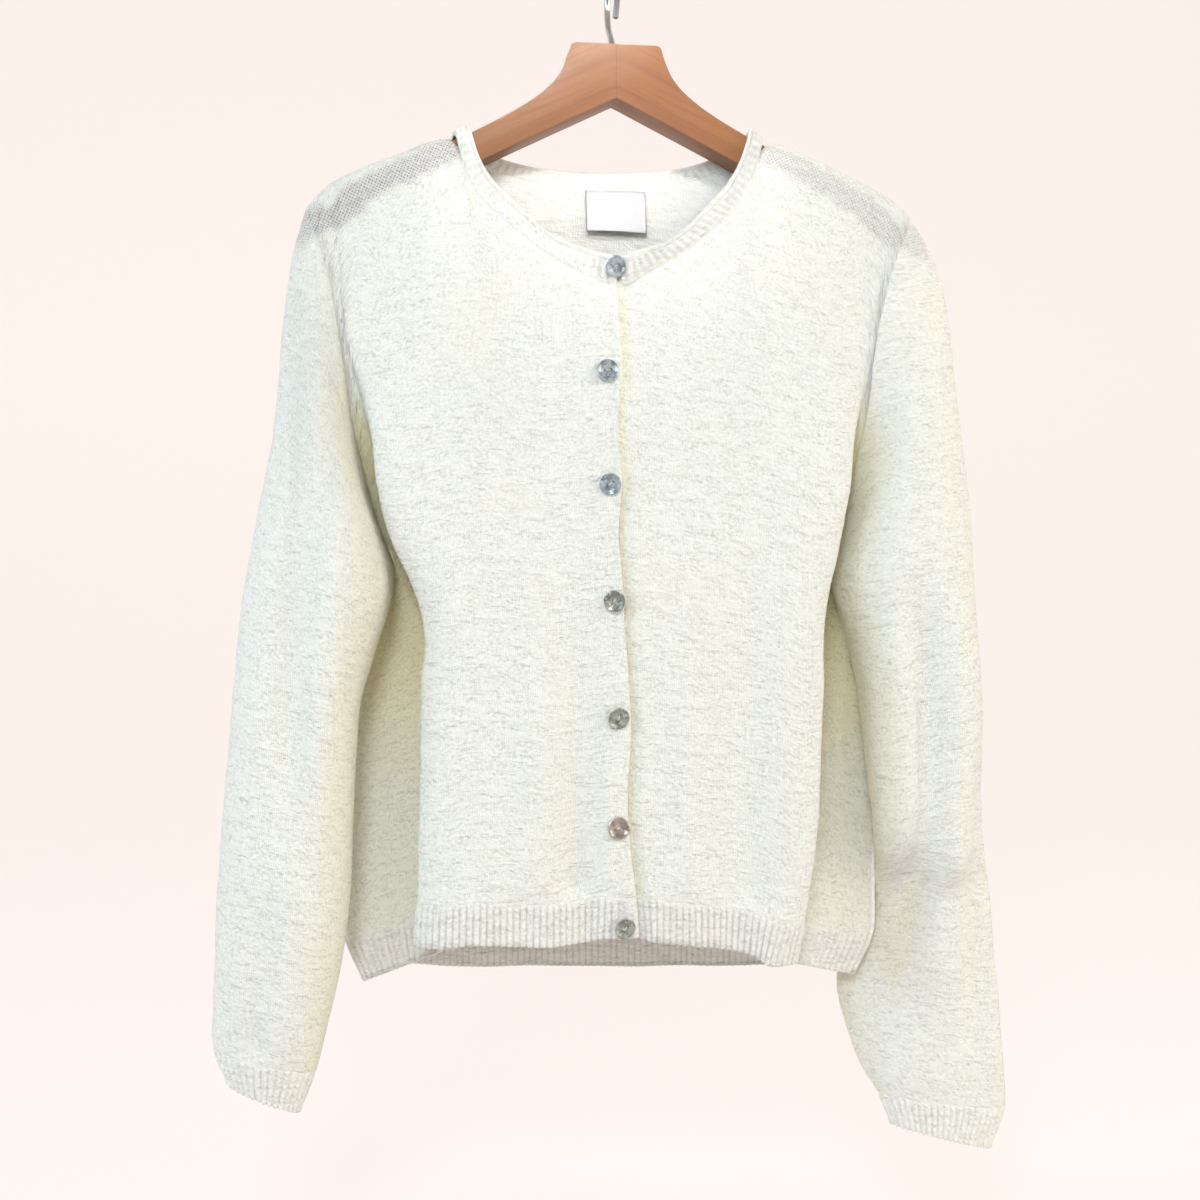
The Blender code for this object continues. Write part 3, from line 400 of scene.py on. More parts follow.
def curve_weights(keys: Grid, at: Grid) -> tuple[Grid, Grid]:
    """How much each point counts along a smooth curve through them, and for the curve's slope.

    Args:
        keys: rising places of the points.
        at: places where the curve is read.

    Returns:
        Two arrays of one row for each place and one column for each point.
    """
    slopes = np.gradient(np.eye(len(keys)), keys, axis=0)
    first = np.clip(np.searchsorted(keys, at, "right") - 1, 0, len(keys) - 2)
    span = (keys[first + 1] - keys[first])[:, None]
    t = (at[:, None] - keys[first][:, None]) / span
    here, after = np.eye(len(keys))[first], np.eye(len(keys))[first + 1]
    place = (
        here * (1 + 2 * t) * (1 - t) ** 2 + slopes[first] * span * t * (1 - t) ** 2
        + after * t * t * (3 - 2 * t) + slopes[first + 1] * span * t * t * (t - 1)
    )
    slope = (
        (after - here) * 6 * t * (1 - t) / span
        + slopes[first] * (1 - t) * (1 - 3 * t) + slopes[first + 1] * t * (3 * t - 2)
    )
    return place, slope


def through(points: Any, at: float) -> Grid:
    """The place at a fractional index on a smooth curve through the points.

    Args:
        points: two or more points, of any number of coordinates.
        at: the index.

    Returns:
        The place.
    """
    points = np.asarray(points, float)
    i = min(int(at), len(points) - 2)
    t = at - i
    a, b = points[i], points[i + 1]
    before = points[i - 1] if i else 2 * a - b
    after = points[i + 2] if i + 2 < len(points) else 2 * b - a
    return 0.5 * (
        2 * a + (b - before) * t + (2 * before - 5 * a + 4 * b - after) * t * t
        + (3 * a - before - 3 * b + after) * t ** 3
    )


def smooth_step(value: Any) -> Any:
    """Rises smoothly from 0 to 1 as the value does."""
    value = np.clip(value, 0, 1)
    return value * value * (3 - 2 * value)


def bell(offset: Any, half_width: float) -> Any:
    """Falls smoothly from 1 in the middle to almost 0 at twice the half width."""
    return np.exp(-((offset / half_width) ** 2))


def from_edges(at: Grid) -> Grid:
    """How far each distance along a piece is from the nearer end."""
    return np.minimum(at - at[0], at[-1] - at)


@dataclass
class Patch:
    """A fine piece of a surface: its points, outward directions and distances in millimetres."""

    points: Grid
    normals: Grid
    down: Grid
    across: Grid

    def lengths(self, grain: int) -> Grid:
        """Real distances along the cloth, for a pattern that follows it.

        Args:
            grain: the column from which the distances across are counted.

        Returns:
            A grid of distances across and up from the last row.
        """
        aside = np.linalg.norm(np.diff(self.points, axis=1), axis=2)
        aside = np.concatenate([np.zeros((len(self.points), 1)), np.cumsum(aside, axis=1)], axis=1)
        along = np.linalg.norm(np.diff(self.points, axis=0), axis=2)
        along = np.concatenate([np.zeros((1, self.points.shape[1])), np.cumsum(along, axis=0)])
        return np.stack([aside - aside[:, grain:grain + 1], along[-1] - along], axis=2)


@dataclass
class Surface:
    """A smooth surface through a coarse grid of points."""

    grid: Grid
    closed: bool = False
    down: Grid = field(init=False)
    across: Grid = field(init=False)

    def __post_init__(self) -> None:
        """Measures the grid's rows and columns by their mean distances."""
        along = np.linalg.norm(np.diff(self.grid, axis=0), axis=2).mean(axis=1)
        aside = np.linalg.norm(np.diff(self.grid, axis=1), axis=2).mean(axis=0)
        self.down = np.concatenate([[0], np.cumsum(along)])
        self.across = np.concatenate([[0], np.cumsum(aside)])

    def patch(self, down: Grid, across: Grid) -> Patch:
        """The surface read at these distances.

        Args:
            down: distances from the first row.
            across: distances from the first column.

        Returns:
            The fine piece.
        """
        grid, keys = self.grid, self.across
        if self.closed:
            grid = np.concatenate([grid[:, -4:-1], grid, grid[:, 1:4]], axis=1)
            keys = np.concatenate([keys[-4:-1] - keys[-1], keys, keys[1:4] + keys[-1]])
        rows, row_slopes = curve_weights(self.down, down)
        columns, column_slopes = curve_weights(keys, across)
        points = np.einsum("ri,ijk,cj->rck", rows, grid, columns)
        along = np.einsum("ri,ijk,cj->rck", row_slopes, grid, columns)
        aside = np.einsum("ri,ijk,cj->rck", rows, grid, column_slopes)
        normals = np.cross(aside, along)
        normals /= np.maximum(np.linalg.norm(normals, axis=2, keepdims=True), 1e-9)
        return Patch(points, normals, down, across)


def places(start: float, end: float, step: float, first: float = 0, last: float = 0) -> Grid:
    """Distances along a piece, closer together where an edge is rounded.

    Args:
        start: the first distance.
        end: the last one.
        step: the usual distance between two of them.
        first: the radius of the rounding at the start, or 0.
        last: the radius at the end, or 0.

    Returns:
        The distances.
    """
    turned = 1 - np.cos(np.linspace(0, pi / 2, 5))
    inside = np.linspace(start + first, end - last, max(int(round((end - start) / step)), 2) + 1)
    head = start + first * turned[:-1] if first else np.empty(0)
    tail = end - last * turned[-2::-1] if last else np.empty(0)
    return np.concatenate([head, inside, tail])


def edge_share(at: Grid, first: float, last: float) -> Grid:
    """The share of the wall's thickness at these distances, falling to 0 at a rounded edge.

    Args:
        at: rising distances.
        first: the radius of the rounding at the start, or 0.
        last: the radius at the end, or 0.

    Returns:
        One share for each distance.
    """
    share = np.ones(len(at))
    for distance, radius in ((at - at[0], first), (at[-1] - at, last)):
        if radius:
            inside = 1 - np.clip(distance / radius, 0, 1)
            share *= np.sqrt(np.maximum(1 - inside ** 2, 0))
    return share


def wander(points: Grid, sizes: tuple[float, float, float], seed: float) -> Grid:
    """Smooth random values from -1 to 1 over a grid of points.

    Args:
        points: the grid, in millimetres.
        sizes: how long a wave is along X, Y and Z.
        seed: moves the pattern, so that two pieces differ.

    Returns:
        One value for each point.
    """
    scaled = points / np.array(sizes) + seed
    flat = [noise.noise(Vector(place)) for place in scaled.reshape(-1, 3)]
    return np.array(flat).reshape(points.shape[:2])


# ---- meshes ----
# Points nearer to each other than this are one, in metres.
WELD = 1e-6
WALL_WELD = 2e-6
NO_LENGTH = 1e-7


@dataclass
class Edges:
    """The radius of the rounding along each edge of a wall, or 0 where the edge is open."""

    top: float = 0.5
    bottom: float = 0.5
    first: float = 0.5
    last: float = 0.5


@dataclass
class Wall:
    """A cloth wall: an outer face with its relief, and a plain inner face one thickness inside."""

    name: str
    patch: Patch
    edges: Edges
    thick: float = CLOTH
    rise: Grid | None = None
    inner_rise: Grid | None = None
    grain: int = 0
    marks: dict[str, Grid] = field(default_factory=dict)

    def faces(self) -> tuple[Grid, Grid]:
        """The outer and the inner grid, meeting at the rounded edges.

        Returns:
            Both grids, in millimetres.
        """
        patch, edges = self.patch, self.edges
        share = edge_share(patch.down, edges.top, edges.bottom)[:, None]
        share = (share * edge_share(patch.across, edges.first, edges.last)[None])[..., None]
        middle = patch.points - patch.normals * self.thick / 2
        rise = np.zeros(share.shape) if self.rise is None else self.rise[..., None]
        sunk = np.zeros(share.shape) if self.inner_rise is None else self.inner_rise[..., None]
        outer = middle + patch.normals * (self.thick / 2 + rise) * share
        inner = middle - patch.normals * (self.thick / 2 + sunk) * share
        return outer, inner

    def build(self) -> bpy.types.Object:
        """Makes the wall from two mapped grids that are welded along their edges.

        Returns:
            The finished object, not yet dressed.
        """
        work = bmesh.new()
        outer, inner = self.faces()
        lengths = self.patch.lengths(self.grain)
        for grid, turned, inside in ((outer, True, 0.0), (inner, False, 1.0)):
            marks = self.marks | {"inside": np.full(grid.shape[:2], inside)}
            map_grid(work, grid, lengths, turned, marks)
        bmesh.ops.remove_doubles(work, verts=work.verts, dist=WALL_WELD)
        bmesh.ops.dissolve_degenerate(work, edges=work.edges, dist=NO_LENGTH)
        return piece_of(self.name, work)


def map_grid(
    work: bmesh.types.BMesh, grid: Grid, lengths: Grid, turned: bool, marks: dict[str, Grid]
) -> None:
    """Adds a flat grid and moves its points to their places.

    Args:
        work: the mesh that it is added to.
        grid: the places, in millimetres.
        lengths: the cloth's own distances, for the UV map "cloth", in millimetres.
        turned: whether the faces look against the grid's own side.
        marks: values for each point, by the name of their attribute.
    """
    rows, columns = grid.shape[:2]
    uv = work.loops.layers.uv.get("cloth") or work.loops.layers.uv.new("cloth")
    layers = {
        name: work.verts.layers.float.get(name) or work.verts.layers.float.new(name)
        for name in marks
    }
    made = bmesh.ops.create_grid(
        work, x_segments=columns - 1, y_segments=rows - 1, size=0.5
    )["verts"]
    index = {}
    for vert in made:
        c = round((vert.co.x + 0.5) * (columns - 1))
        r = round((0.5 - vert.co.y) * (rows - 1))
        index[vert] = (r, c)
        vert.co = grid[r, c] * MM
        for name, layer in layers.items():
            vert[layer] = marks[name][r, c]
    faces = list({face for vert in made for face in vert.link_faces})
    for face in faces:
        face.smooth = True
        for loop in face.loops:
            loop[uv].uv = lengths[index[loop.vert]] * MM
    if turned:
        bmesh.ops.reverse_faces(work, faces=faces)


def piece_of(name: str, work: bmesh.types.BMesh) -> bpy.types.Object:
    """An object at the origin from a finished bmesh.

    Args:
        name: the object's name.
        work: the bmesh, which is freed.

    Returns:
        The object, linked to the scene.
    """
    mesh = bpy.data.meshes.new(name)
    work.to_mesh(mesh)
    work.free()
    made = bpy.data.objects.new(name, mesh)
    bpy.context.scene.collection.objects.link(made)
    return made


def frozen(source: bpy.types.Object, name: str) -> bpy.types.Object:
    """A curve, or a mesh with modifiers, made a plain welded mesh with its place applied.

    Args:
        source: the curve or mesh, which is removed.
        name: the new object's name.

    Returns:
        The mesh object.
    """
    bpy.context.view_layer.update()
    graph = bpy.context.evaluated_depsgraph_get()
    mesh = bpy.data.meshes.new_from_object(source.evaluated_get(graph))
    mesh.transform(source.matrix_world)
    bpy.data.objects.remove(source)
    work = bmesh.new()
    work.from_mesh(mesh)
    bpy.data.meshes.remove(mesh)
    bmesh.ops.remove_doubles(work, verts=work.verts, dist=WELD)
    bmesh.ops.recalc_face_normals(work, faces=work.faces)
    for face in work.faces:
        face.smooth = True
    return piece_of(name, work)


def tube(name: str, route: Sequence[Any], radius: float, sides: int = 3) -> bpy.types.Object:
    """A round wire, yarn or thread along a smooth route.

    Args:
        name: the piece's name.
        route: the points of its middle line, in millimetres.
        radius: half its thickness, in millimetres.
        sides: how finely it is rounded.

    Returns:
        The mesh piece.
    """
    data = bpy.data.curves.new(name, "CURVE")
    data.dimensions = "3D"
    data.bevel_depth = radius * MM
    data.bevel_resolution = sides
    data.use_fill_caps = True
    spline = data.splines.new("POLY")
    spline.points.add(len(route) - 1)
    for point, place in zip(spline.points, route):
        point.co = (*(float(value) * MM for value in place), 1)
    source = bpy.data.objects.new(name + "_route", data)
    bpy.context.scene.collection.objects.link(source)
    return frozen(source, name)


def joined(name: str, parts: Sequence[bpy.types.Object]) -> bpy.types.Object:
    """Several meshes made one piece.

    Args:
        name: the new piece's name.
        parts: the meshes, which are removed.

    Returns:
        The piece.
    """
    work = bmesh.new()
    for part in parts:
        work.from_mesh(part.data)
        bpy.data.objects.remove(part)
    return piece_of(name, work)


def dress(
    piece: bpy.types.Object, finish: bpy.types.Material, slot: str, *nodes: str
) -> bpy.types.Object:
    """Gives a piece its material and body, and hides the CAD nodes that it stands for.

    Args:
        piece: the object.
        finish: its material.
        slot: not used.
        nodes: the CAD nodes that it replaces.

    Returns:
        The same object.
    """
    piece.data.materials.clear()
    piece.data.materials.append(finish)
    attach(piece, ROOT)
    if nodes:
        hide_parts(*nodes)
    log.info("%s: %d faces", piece.name, len(piece.data.polygons))
    return piece


# ---- how the garment lies: the same coarse grids as the solids have ----
def row_heights(top: float, hem: float) -> list[float]:
    """The heights of one column's rows: yoke, body, and the hem below its rib.

    Args:
        top: the height of the column's top.
        hem: the height of its hem.

    Returns:
        The heights, falling.
    """
    rib_top = hem + HEM_RIB
    yoke = [top + (UNDERARM - top) * share for share in YOKE_ROWS]
    body = [UNDERARM + (rib_top - UNDERARM) * share for share in BODY_ROWS]
    return yoke + body + [hem]


UNDERARM_ROW = len(YOKE_ROWS) - 1
PANEL_ROWS = len(YOKE_ROWS) + len(BODY_ROWS) + 1
# The front underneath: its last column under the edge and its first one beside it, from the edge,
# and the rows below the underarm over which these columns take up its own heights.
LAST_HIDDEN = 1.5
FIRST_SHOWN = 7.0
LEVEL_ROWS = 5
EDGE_COLUMNS = 4  # the columns at and under the edge, which stand for the front's first one


def neck_place(row: NeckRow, sign: int) -> tuple[Grid, Grid]:
    """The neck seam and the band's edge in this row, on one side.

    Args:
        row: the row of the neck's table.
        sign: -1 for the wearer's right, 1 for the left.

    Returns:
        Both places.
    """
    lift = NECK_LIFT * sign * (row.out / NECK[FRONT_NECK_ROWS - 1].out) ** 2
    seam = (NECK_MIDDLE + sign * row.out, row.depth, row.height + lift)
    edge = (NECK_MIDDLE + sign * row.edge_out, row.edge_depth, row.edge_height + lift)
    return np.array(seam), np.array(edge)


def folds_at(folds: Sequence[Fold], across: float, height: float) -> float:
    """How far back the folds push the cloth at a place.

    Args:
        folds: the folds of this panel.
        across: the place's X.
        height: the place's Z.

    Returns:
        The push, plus towards the back.
    """
    pushed = 0.0
    for fold in folds:
        deepens = smooth_step((fold.start - height) / FOLD_RUN)
        pushed += fold.depth * deepens * bell(across - fold.across, fold.half_width)
    return pushed


def side_place(side: Half, armhole: Sequence[Hole], height: float, share: float | None) -> tuple:
    """A place on the armhole down to the underarm, and on the side seam below it.

    Args:
        side: the half of the garment.
        armhole: its armhole, at the front or the back.
        height: the place's height.
        share: its share of the armhole's drop, or None below it.

    Returns:
        The place.
    """
    if share is not None:
        return (side.sign * read(armhole, share, "out"), read(armhole, share, "depth"), height)
    return (side.sign * read(side.seam, height, "out"), read(side.seam, height, "depth"), height)


def front_lines(side: Half, height: Sequence[float], share: float | None) -> list[tuple]:
    """The eight places that a row of a front runs through, from the closure to the side.

    Args:
        side: the half of the garment.
        height: the row's height at each of the places.
        share: the row's share of the armhole's drop, or None below it.

    Returns:
        The places.
    """
    s = side.sign
    falls = [read(FRONT_FALL, height[i], "depth") for i in range(4)]
    points = [(CENTRE, falls[0], height[0])]
    for i, table in ((1, side.low), (2, side.high), (3, side.point)):
        points.append((s * read(table, height[i], "out"), falls[i], height[i]))
    for i, name in ((4, "brow"), (5, "turn"), (6, "valley")):
        out = read(side.flank, height[i], name)
        points.append((s * out, read(side.flank, height[i], name + "_depth"), height[i]))
    points.append(side_place(side, side.armhole_front, height[7], share))
    return points


def back_lines(side: Half, height: Sequence[float], share: float | None) -> list[tuple]:
    """The six places that a row of half the back runs through, from the side to the middle.

    Args:
        side: the half of the garment.
        height: the row's height at each of the places.
        share: the row's share of the armhole's drop, or None below it.

    Returns:
        The places.
    """
    s = side.sign
    points = [side_place(side, side.armhole_back, height[0], share)]
    for i, table in ((1, CORNER), (2, BLADE)):
        points.append((s * read(table, height[i], "out"), read(table, height[i], "depth"), height[i]))
    for i, reach in ((3, BACK_POINT), (4, BACK_MID)):
        out = s * read(reach, height[i], "out")
        points.append((out, read(BACK_FALL, height[i], "depth"), height[i]))
    points.append((0, read(BACK_FALL, height[5], "depth"), height[5]))
    return points


def shoulder_tops(side: Half) -> list[Grid]:
    """The shoulder seam from the neck point to its end."""
    return [np.array((side.sign * p.out, p.depth, p.height), float) for p in side.shoulder]


def front_tops(side: Half) -> list[Grid]:
    """The top of each column of a front, on the neckline and then on the shoulder seam.

    Args:
        side: the half of the garment.

    Returns:
        One place for each column.
    """
    columns = [neck_place(row, side.sign)[0] for row in NECK[:FRONT_NECK_ROWS]]
    columns[0][0] = CENTRE
    columns[-1] = shoulder_tops(side)[0]
    return columns + shoulder_tops(side)[1:]


def back_tops(side: Half) -> list[Grid]:
    """The same for half the back, from the shoulder's end to the centre back.

    Args:
        side: the half of the garment.

    Returns:
        One place for each column.
    """
    shoulder = shoulder_tops(side)[::-1]
    seam = [shoulder[i] for i in (0, 1, 2, 4, 6, 7, 8)]
    neck = [neck_place(row, side.sign)[0] for row in NECK[FRONT_NECK_ROWS:]]
    neck[-1][0] = 0
    return seam + neck


@dataclass
class PanelCut:
    """One front or half the back: its lines, tops, hem and folds."""

    side: Half
    lines: Callable
    columns: Sequence[float]
    tops: list[Grid]
    hems: Sequence[float]
    folds: Sequence[Fold]
    neck_columns: range

    def grid(self) -> Grid:
        """Rows of places across the panel; the first row is its top boundary.

        Returns:
            The grid, in millimetres.
        """
        heights = [top[2] for top in self.tops]
        line_tops = np.interp(range(len(self.hems)), self.columns, heights)
        found = []
        for k in range(PANEL_ROWS):
            share = YOKE_ROWS[k] if k <= UNDERARM_ROW else None
            levels = [row_heights(top, hem)[k] for top, hem in zip(line_tops, self.hems)]
            points = self.lines(self.side, levels, share)
            found.append([through(points, at) for at in self.columns])
        top_row = [place.copy() for place in found[0]]
        for k, row in enumerate(found):
            for c, place in enumerate(row):
                hem = through([(h,) for h in self.hems], self.columns[c])[0]
                place[2] = row_heights(heights[c], hem)[k]
                place[:2] += (self.tops[c] - top_row[c])[:2] * self.top_share(c, heights[c] - place[2])
                if k > UNDERARM_ROW:
                    place[1] += folds_at(self.folds, place[0], place[2])
        return np.array(found)

    def top_share(self, column: int, drop: float) -> float:
        """How much a place this far below its top still follows the top boundary.

        Args:
            column: the place's column.
            drop: its distance below the top.

        Returns:
            A share from 0 to 1.
        """
        if column in self.neck_columns:
            return 1 - smooth_step(drop / NECK_EASE)
        return 1 - read(SHOULDER_ROLL, min(drop, SHOULDER_ROLL[-1].height), "depth")


def centre_place(column: Grid, edge_out: float) -> Grid:
    """The closure column moved sideways on the front's surface.

    Args:
        column: the places down the closure.
        edge_out: how far from the edge they are moved.

    Returns:
        The moved places.
    """
    moved = column.copy()
    for place in moved:
        across = read(EDGE, place[2], "out") + edge_out
        fold = folds_at(FRONT_FOLDS, across, place[2]) - folds_at(FRONT_FOLDS, place[0], place[2])
        place[:2] = across, place[1] + fold
    return moved


@dataclass
class BodyLie:
    """The grids of the right front, the left front and the back, and of the neckband."""

    over: Grid = field(init=False)
    under: Grid = field(init=False)
    back: Grid = field(init=False)

    def __post_init__(self) -> None:
        """Lays the fronts over each other and joins the halves of the back."""
        right, left = (
            PanelCut(side, front_lines, FRONT_COLUMNS, front_tops(side), side.hem[:8], FRONT_FOLDS,
                     range(NECK_COLUMN)).grid()
            for side in (WEARERS_RIGHT, WEARERS_LEFT)
        )
        halves = [
            PanelCut(side, back_lines, BACK_COLUMNS, back_tops(side), side.hem[7:], BACK_FOLDS,
                     range(BACK_NECK_COLUMN + 1, len(BACK_COLUMNS))).grid()
            for side in (WEARERS_RIGHT, WEARERS_LEFT)
        ]
        hidden = [right[:, 1], right[:, 0], centre_place(right[:, 0], LAST_HIDDEN)]
        hidden = [column + (0, CLOTH + FOLD_GAP, 0) for column in hidden]
        shown = centre_place(right[:, 0], FIRST_SHOWN)
        lower = smooth_step((np.arange(len(shown)) - UNDERARM_ROW) / LEVEL_ROWS)
        for column, share in ((shown, 0.8), (hidden[-1], 0.5)):
            column[:, 2] += share * lower * (left[:, 1, 2] - column[:, 2])
        under = np.stack(hidden + [shown] + [left[:, c] for c in range(1, left.shape[1])], axis=1)
        self.over = np.concatenate([centre_place(right[:, 0], 0)[:, None], right], axis=1)
        self.under = under[:, ::-1]
        self.back = np.concatenate([halves[0], halves[1][:, -2::-1]], axis=1)

    def band(self) -> Grid:
        """Two rows round the neck, edge and seam, from the over end to the under end.

        Returns:
            The neckband's grid.
        """
        seam = [self.over[0, c] for c in range(NECK_COLUMN + 2)]
        first = BACK_NECK_COLUMN
        seam += [self.back[0, c] for c in range(first + 1, self.back.shape[1] - first)]
        left_neck = self.under.shape[1] - EDGE_COLUMNS - NECK_COLUMN
        seam += [self.under[0, c] for c in range(left_neck + 1, self.under.shape[1])]
        right_edges = [neck_place(row, -1)[1] for row in NECK]
        left_edges = [neck_place(row, 1)[1] for row in NECK]
        middle = right_edges[0]
        pushed = np.array((0, CLOTH + FOLD_GAP, 0))
        edge = [middle + (self.over[0, 0][0] - middle[0], 0, 0), middle + (CENTRE - middle[0], 0, 0)]
        edge += right_edges[1:] + left_edges[-2:0:-1]
        closing = [self.under[0, -4][0], self.under[0, -3][0], self.under[0, -2][0]]
        edge += [middle + (x - middle[0], 0, 0) + pushed * (i > 0) for i, x in enumerate(closing)]
        edge.append(right_edges[1] + pushed)
        return np.array([edge, seam])


@dataclass
class SleeveLie:
    """The grid of a sleeve, from its armhole to the end of its cuff."""

    side: Half
    rings: Sequence[Ring]
    dents: Sequence[Dent]

    def around(self) -> list[tuple[float, int]]:
        """Each column's share of the armhole's drop, and whether it is at the front or the back.

        Returns:
            Pairs of a share and -1 at the front or 1 at the back.
        """
        front = [(share, -1) for share in YOKE_ROWS]
        rear = [(share, 1) for share in YOKE_ROWS]
        if self.side.sign < 0:
            return front[::-1] + rear[1:-1] + front[-1:]
        return front + rear[-2:0:-1] + front[:1]

    def dent_at(self, share: float, height: float) -> float:
        """How far back the dents push the front of the sleeve.

        Args:
            share: the column's share of the armhole's drop.
            height: the place's height.

        Returns:
            The push.
        """
        pushed = 0.0
        for dent in self.dents:
            starts = smooth_step((dent.top - height) / DENT_RUN)
            ends = smooth_step((height - dent.bottom) / DENT_RUN)
            pushed += dent.depth * starts * ends * bell(share - dent.share, dent.half_share)
        return pushed

    def grid(self) -> Grid:
        """Rows of places round the sleeve; the first and the last column are the same.

        Returns:
            The grid, in millimetres.
        """
        s = self.side.sign
        found, residue = [], []
        for k, ring in enumerate(self.rings):
            outer = np.array((s * ring.out, ring.depth, ring.height), float)
            inner = np.array((s * ring.in_out, ring.in_depth, ring.in_height), float)
            unit = (outer - inner) / np.linalg.norm(outer - inner)
            swell = np.array((0, 1, 0)) - unit * unit[1]
            swell = swell / np.linalg.norm(swell)
            row = []
            for i, (share, facing) in enumerate(self.around()):
                turn = acos(1 - 2 * share)
                half = ring.half * sin(turn) * facing
                place = (outer + inner) / 2 + (outer - inner) / 2 * cos(turn) + swell * half
                if k == 0:
                    residue.append(self.armhole(share, facing) - place)
                if k < len(ARMHOLE_SHARES):
                    place = place + residue[i] * ARMHOLE_SHARES[k]
                if facing < 0:
                    place = place + swell * self.dent_at(share, place[2]) * sin(turn)
                row.append(place)
            found.append(row)
        return np.array(found)

    def armhole(self, share: float, facing: int) -> Grid:
        """The true place of the armhole's edge.

        Args:
            share: the share of its drop.
            facing: -1 at the front, 1 at the back.

        Returns:
            The place.
        """
        table = self.side.armhole_front if facing < 0 else self.side.armhole_back
        top = self.side.shoulder[-1].height
        out = self.side.sign * read(table, share, "out")
        return np.array((out, read(table, share, "depth"), top + (UNDERARM - top) * share))


# ---- finishes ----
class Shader:
    """A material's nodes, added one after another."""

    def __init__(self, name: str) -> None:
        """Starts a material with its Principled shader.

        Args:
            name: the material's name.
        """
        self.made = bpy.data.materials.new(name)
        self.made.use_nodes = True
        self.tree = self.made.node_tree
        self.main = self.tree.nodes["Principled BSDF"]

    def node(self, kind: str, settings: dict[str, Any] | None = None, **inputs: Any) -> Any:
        """Adds a node.

        Args:
            kind: the node's type, without its ShaderNode prefix.
            settings: its own properties.
            inputs: sockets by name, with _ for a space, as values or other nodes' outputs.

        Returns:
            The node.
        """
        made = self.tree.nodes.new("ShaderNode" + kind)
        for name, value in (settings or {}).items():
            setattr(made, name, value)
        for name, value in inputs.items():
            self.put(made.inputs[name.replace("_", " ")], value)
        return made

    def put(self, socket: Any, value: Any) -> None:
        """Links an output to a socket, or sets the socket's value.

        Args:
            socket: an input of a node.
            value: another node's output, or a plain value.
        """
        if isinstance(value, bpy.types.NodeSocket):
            self.tree.links.new(value, socket)
        else:
            socket.default_value = value

    def sum(self, operation: str, *values: Any) -> Any:
        """The output of a Math node.

        Args:
            operation: what the node does.
            values: its inputs, in order.

        Returns:
            The output.
        """
        made = self.tree.nodes.new("ShaderNodeMath")
        made.operation = operation
        for socket, value in zip(made.inputs, values):
            self.put(socket, value)
        return made.outputs[0]

    def times(self, first: Any, second: Any) -> Any:
        """The product of two values."""
        return self.sum("MULTIPLY", first, second)

    def plus(self, first: Any, second: Any) -> Any:
        """The sum of two values."""
        return self.sum("ADD", first, second)

    def minus(self, first: Any, second: Any) -> Any:
        """The difference of two values."""
        return self.sum("SUBTRACT", first, second)

    def blend(self, share: Any, first: Any, second: Any, way: str = "MIX") -> Any:
        """A colour between two, by share, or the first one tinted by the second.

        Args:
            share: how much of the second one counts.
            first: a colour.
            second: another colour.
            way: the node's blend type.

        Returns:
            The output.
        """
        made = self.tree.nodes.new("ShaderNodeMix")
        made.data_type, made.blend_type = "RGBA", way
        self.put(made.inputs["Factor"], share)
        self.put(made.inputs["A"], (*first, 1) if isinstance(first, tuple) else first)
        self.put(made.inputs["B"], (*second, 1) if isinstance(second, tuple) else second)
        return made.outputs["Result"]

    def span(self, value: Any, low: float, high: float, start: float = 0, end: float = 1) -> Any:
        """The value carried smoothly from one range to another.

        Args:
            value: the value.
            low: the start of its range.
            high: the range's end.
            start: what the low end gives.
            end: what the high end gives.

        Returns:
            The output.
        """
        made = self.node("MapRange", {"interpolation_type": "SMOOTHSTEP"})
        for name, number in (("Value", value), ("From Min", low), ("From Max", high),
                             ("To Min", start), ("To Max", end)):
            self.put(made.inputs[name], number)
        return made.outputs["Result"]

    def scaled(self, vector: Any, scale: Sequence[float], turn: Sequence[float] = (0, 0, 0)) -> Any:
        """Coordinates made larger along each axis, after a turn."""
        made = self.node("Mapping", Vector=vector, Scale=scale, Rotation=turn)
        return made.outputs["Vector"]

    def cloud(self, vector: Any, scale: float, detail: float = 3, rough: float = 0.55) -> Any:
        """A noise value from 0 to 1."""
        made = self.node("TexNoise", Vector=vector, Scale=scale, Detail=detail, Roughness=rough)
        return made.outputs["Fac"]

    def bump(self, height: Any, distance: float, strength: float, under: Any = None) -> Any:
        """A bump normal, laid over another one.

        Args:
            height: the relief.
            distance: how high it is, in metres.
            strength: its share.
            under: the normal below it.

        Returns:
            The output.
        """
        made = self.node("Bump", Height=height, Distance=distance, Strength=strength)
        if under is not None:
            self.put(made.inputs["Normal"], under)
        return made.outputs["Normal"]

    def wavered(self, place: Any, waver: Any, reach: Sequence[float]) -> Any:
        """Coordinates moved a little by random colours.

        Args:
            place: the coordinates.
            waver: the colours.
            reach: how far they move the place along each axis, in metres.

        Returns:
            A node with the moved X, Y and Z as its outputs.
        """
        moved = self.node("VectorMath", {"operation": "MULTIPLY_ADD"})
        for socket, value in zip(moved.inputs, (waver, reach, place)):
            self.put(socket, value)
        return self.node("SeparateXYZ", Vector=moved.outputs[0])

    def places(self) -> Any:
        """The piece's own coordinates, in metres."""
        return self.node("TexCoord").outputs["Object"]

    def mark(self, name: str) -> Any:
        """The value that the piece's points carry under this name."""
        return self.node("Attribute", {"attribute_name": name}).outputs["Fac"]

    def cloth_uv(self) -> Any:
        """The cloth's own distances, in metres."""
        return self.node("UVMap", {"uv_map": "cloth"}).outputs["UV"]

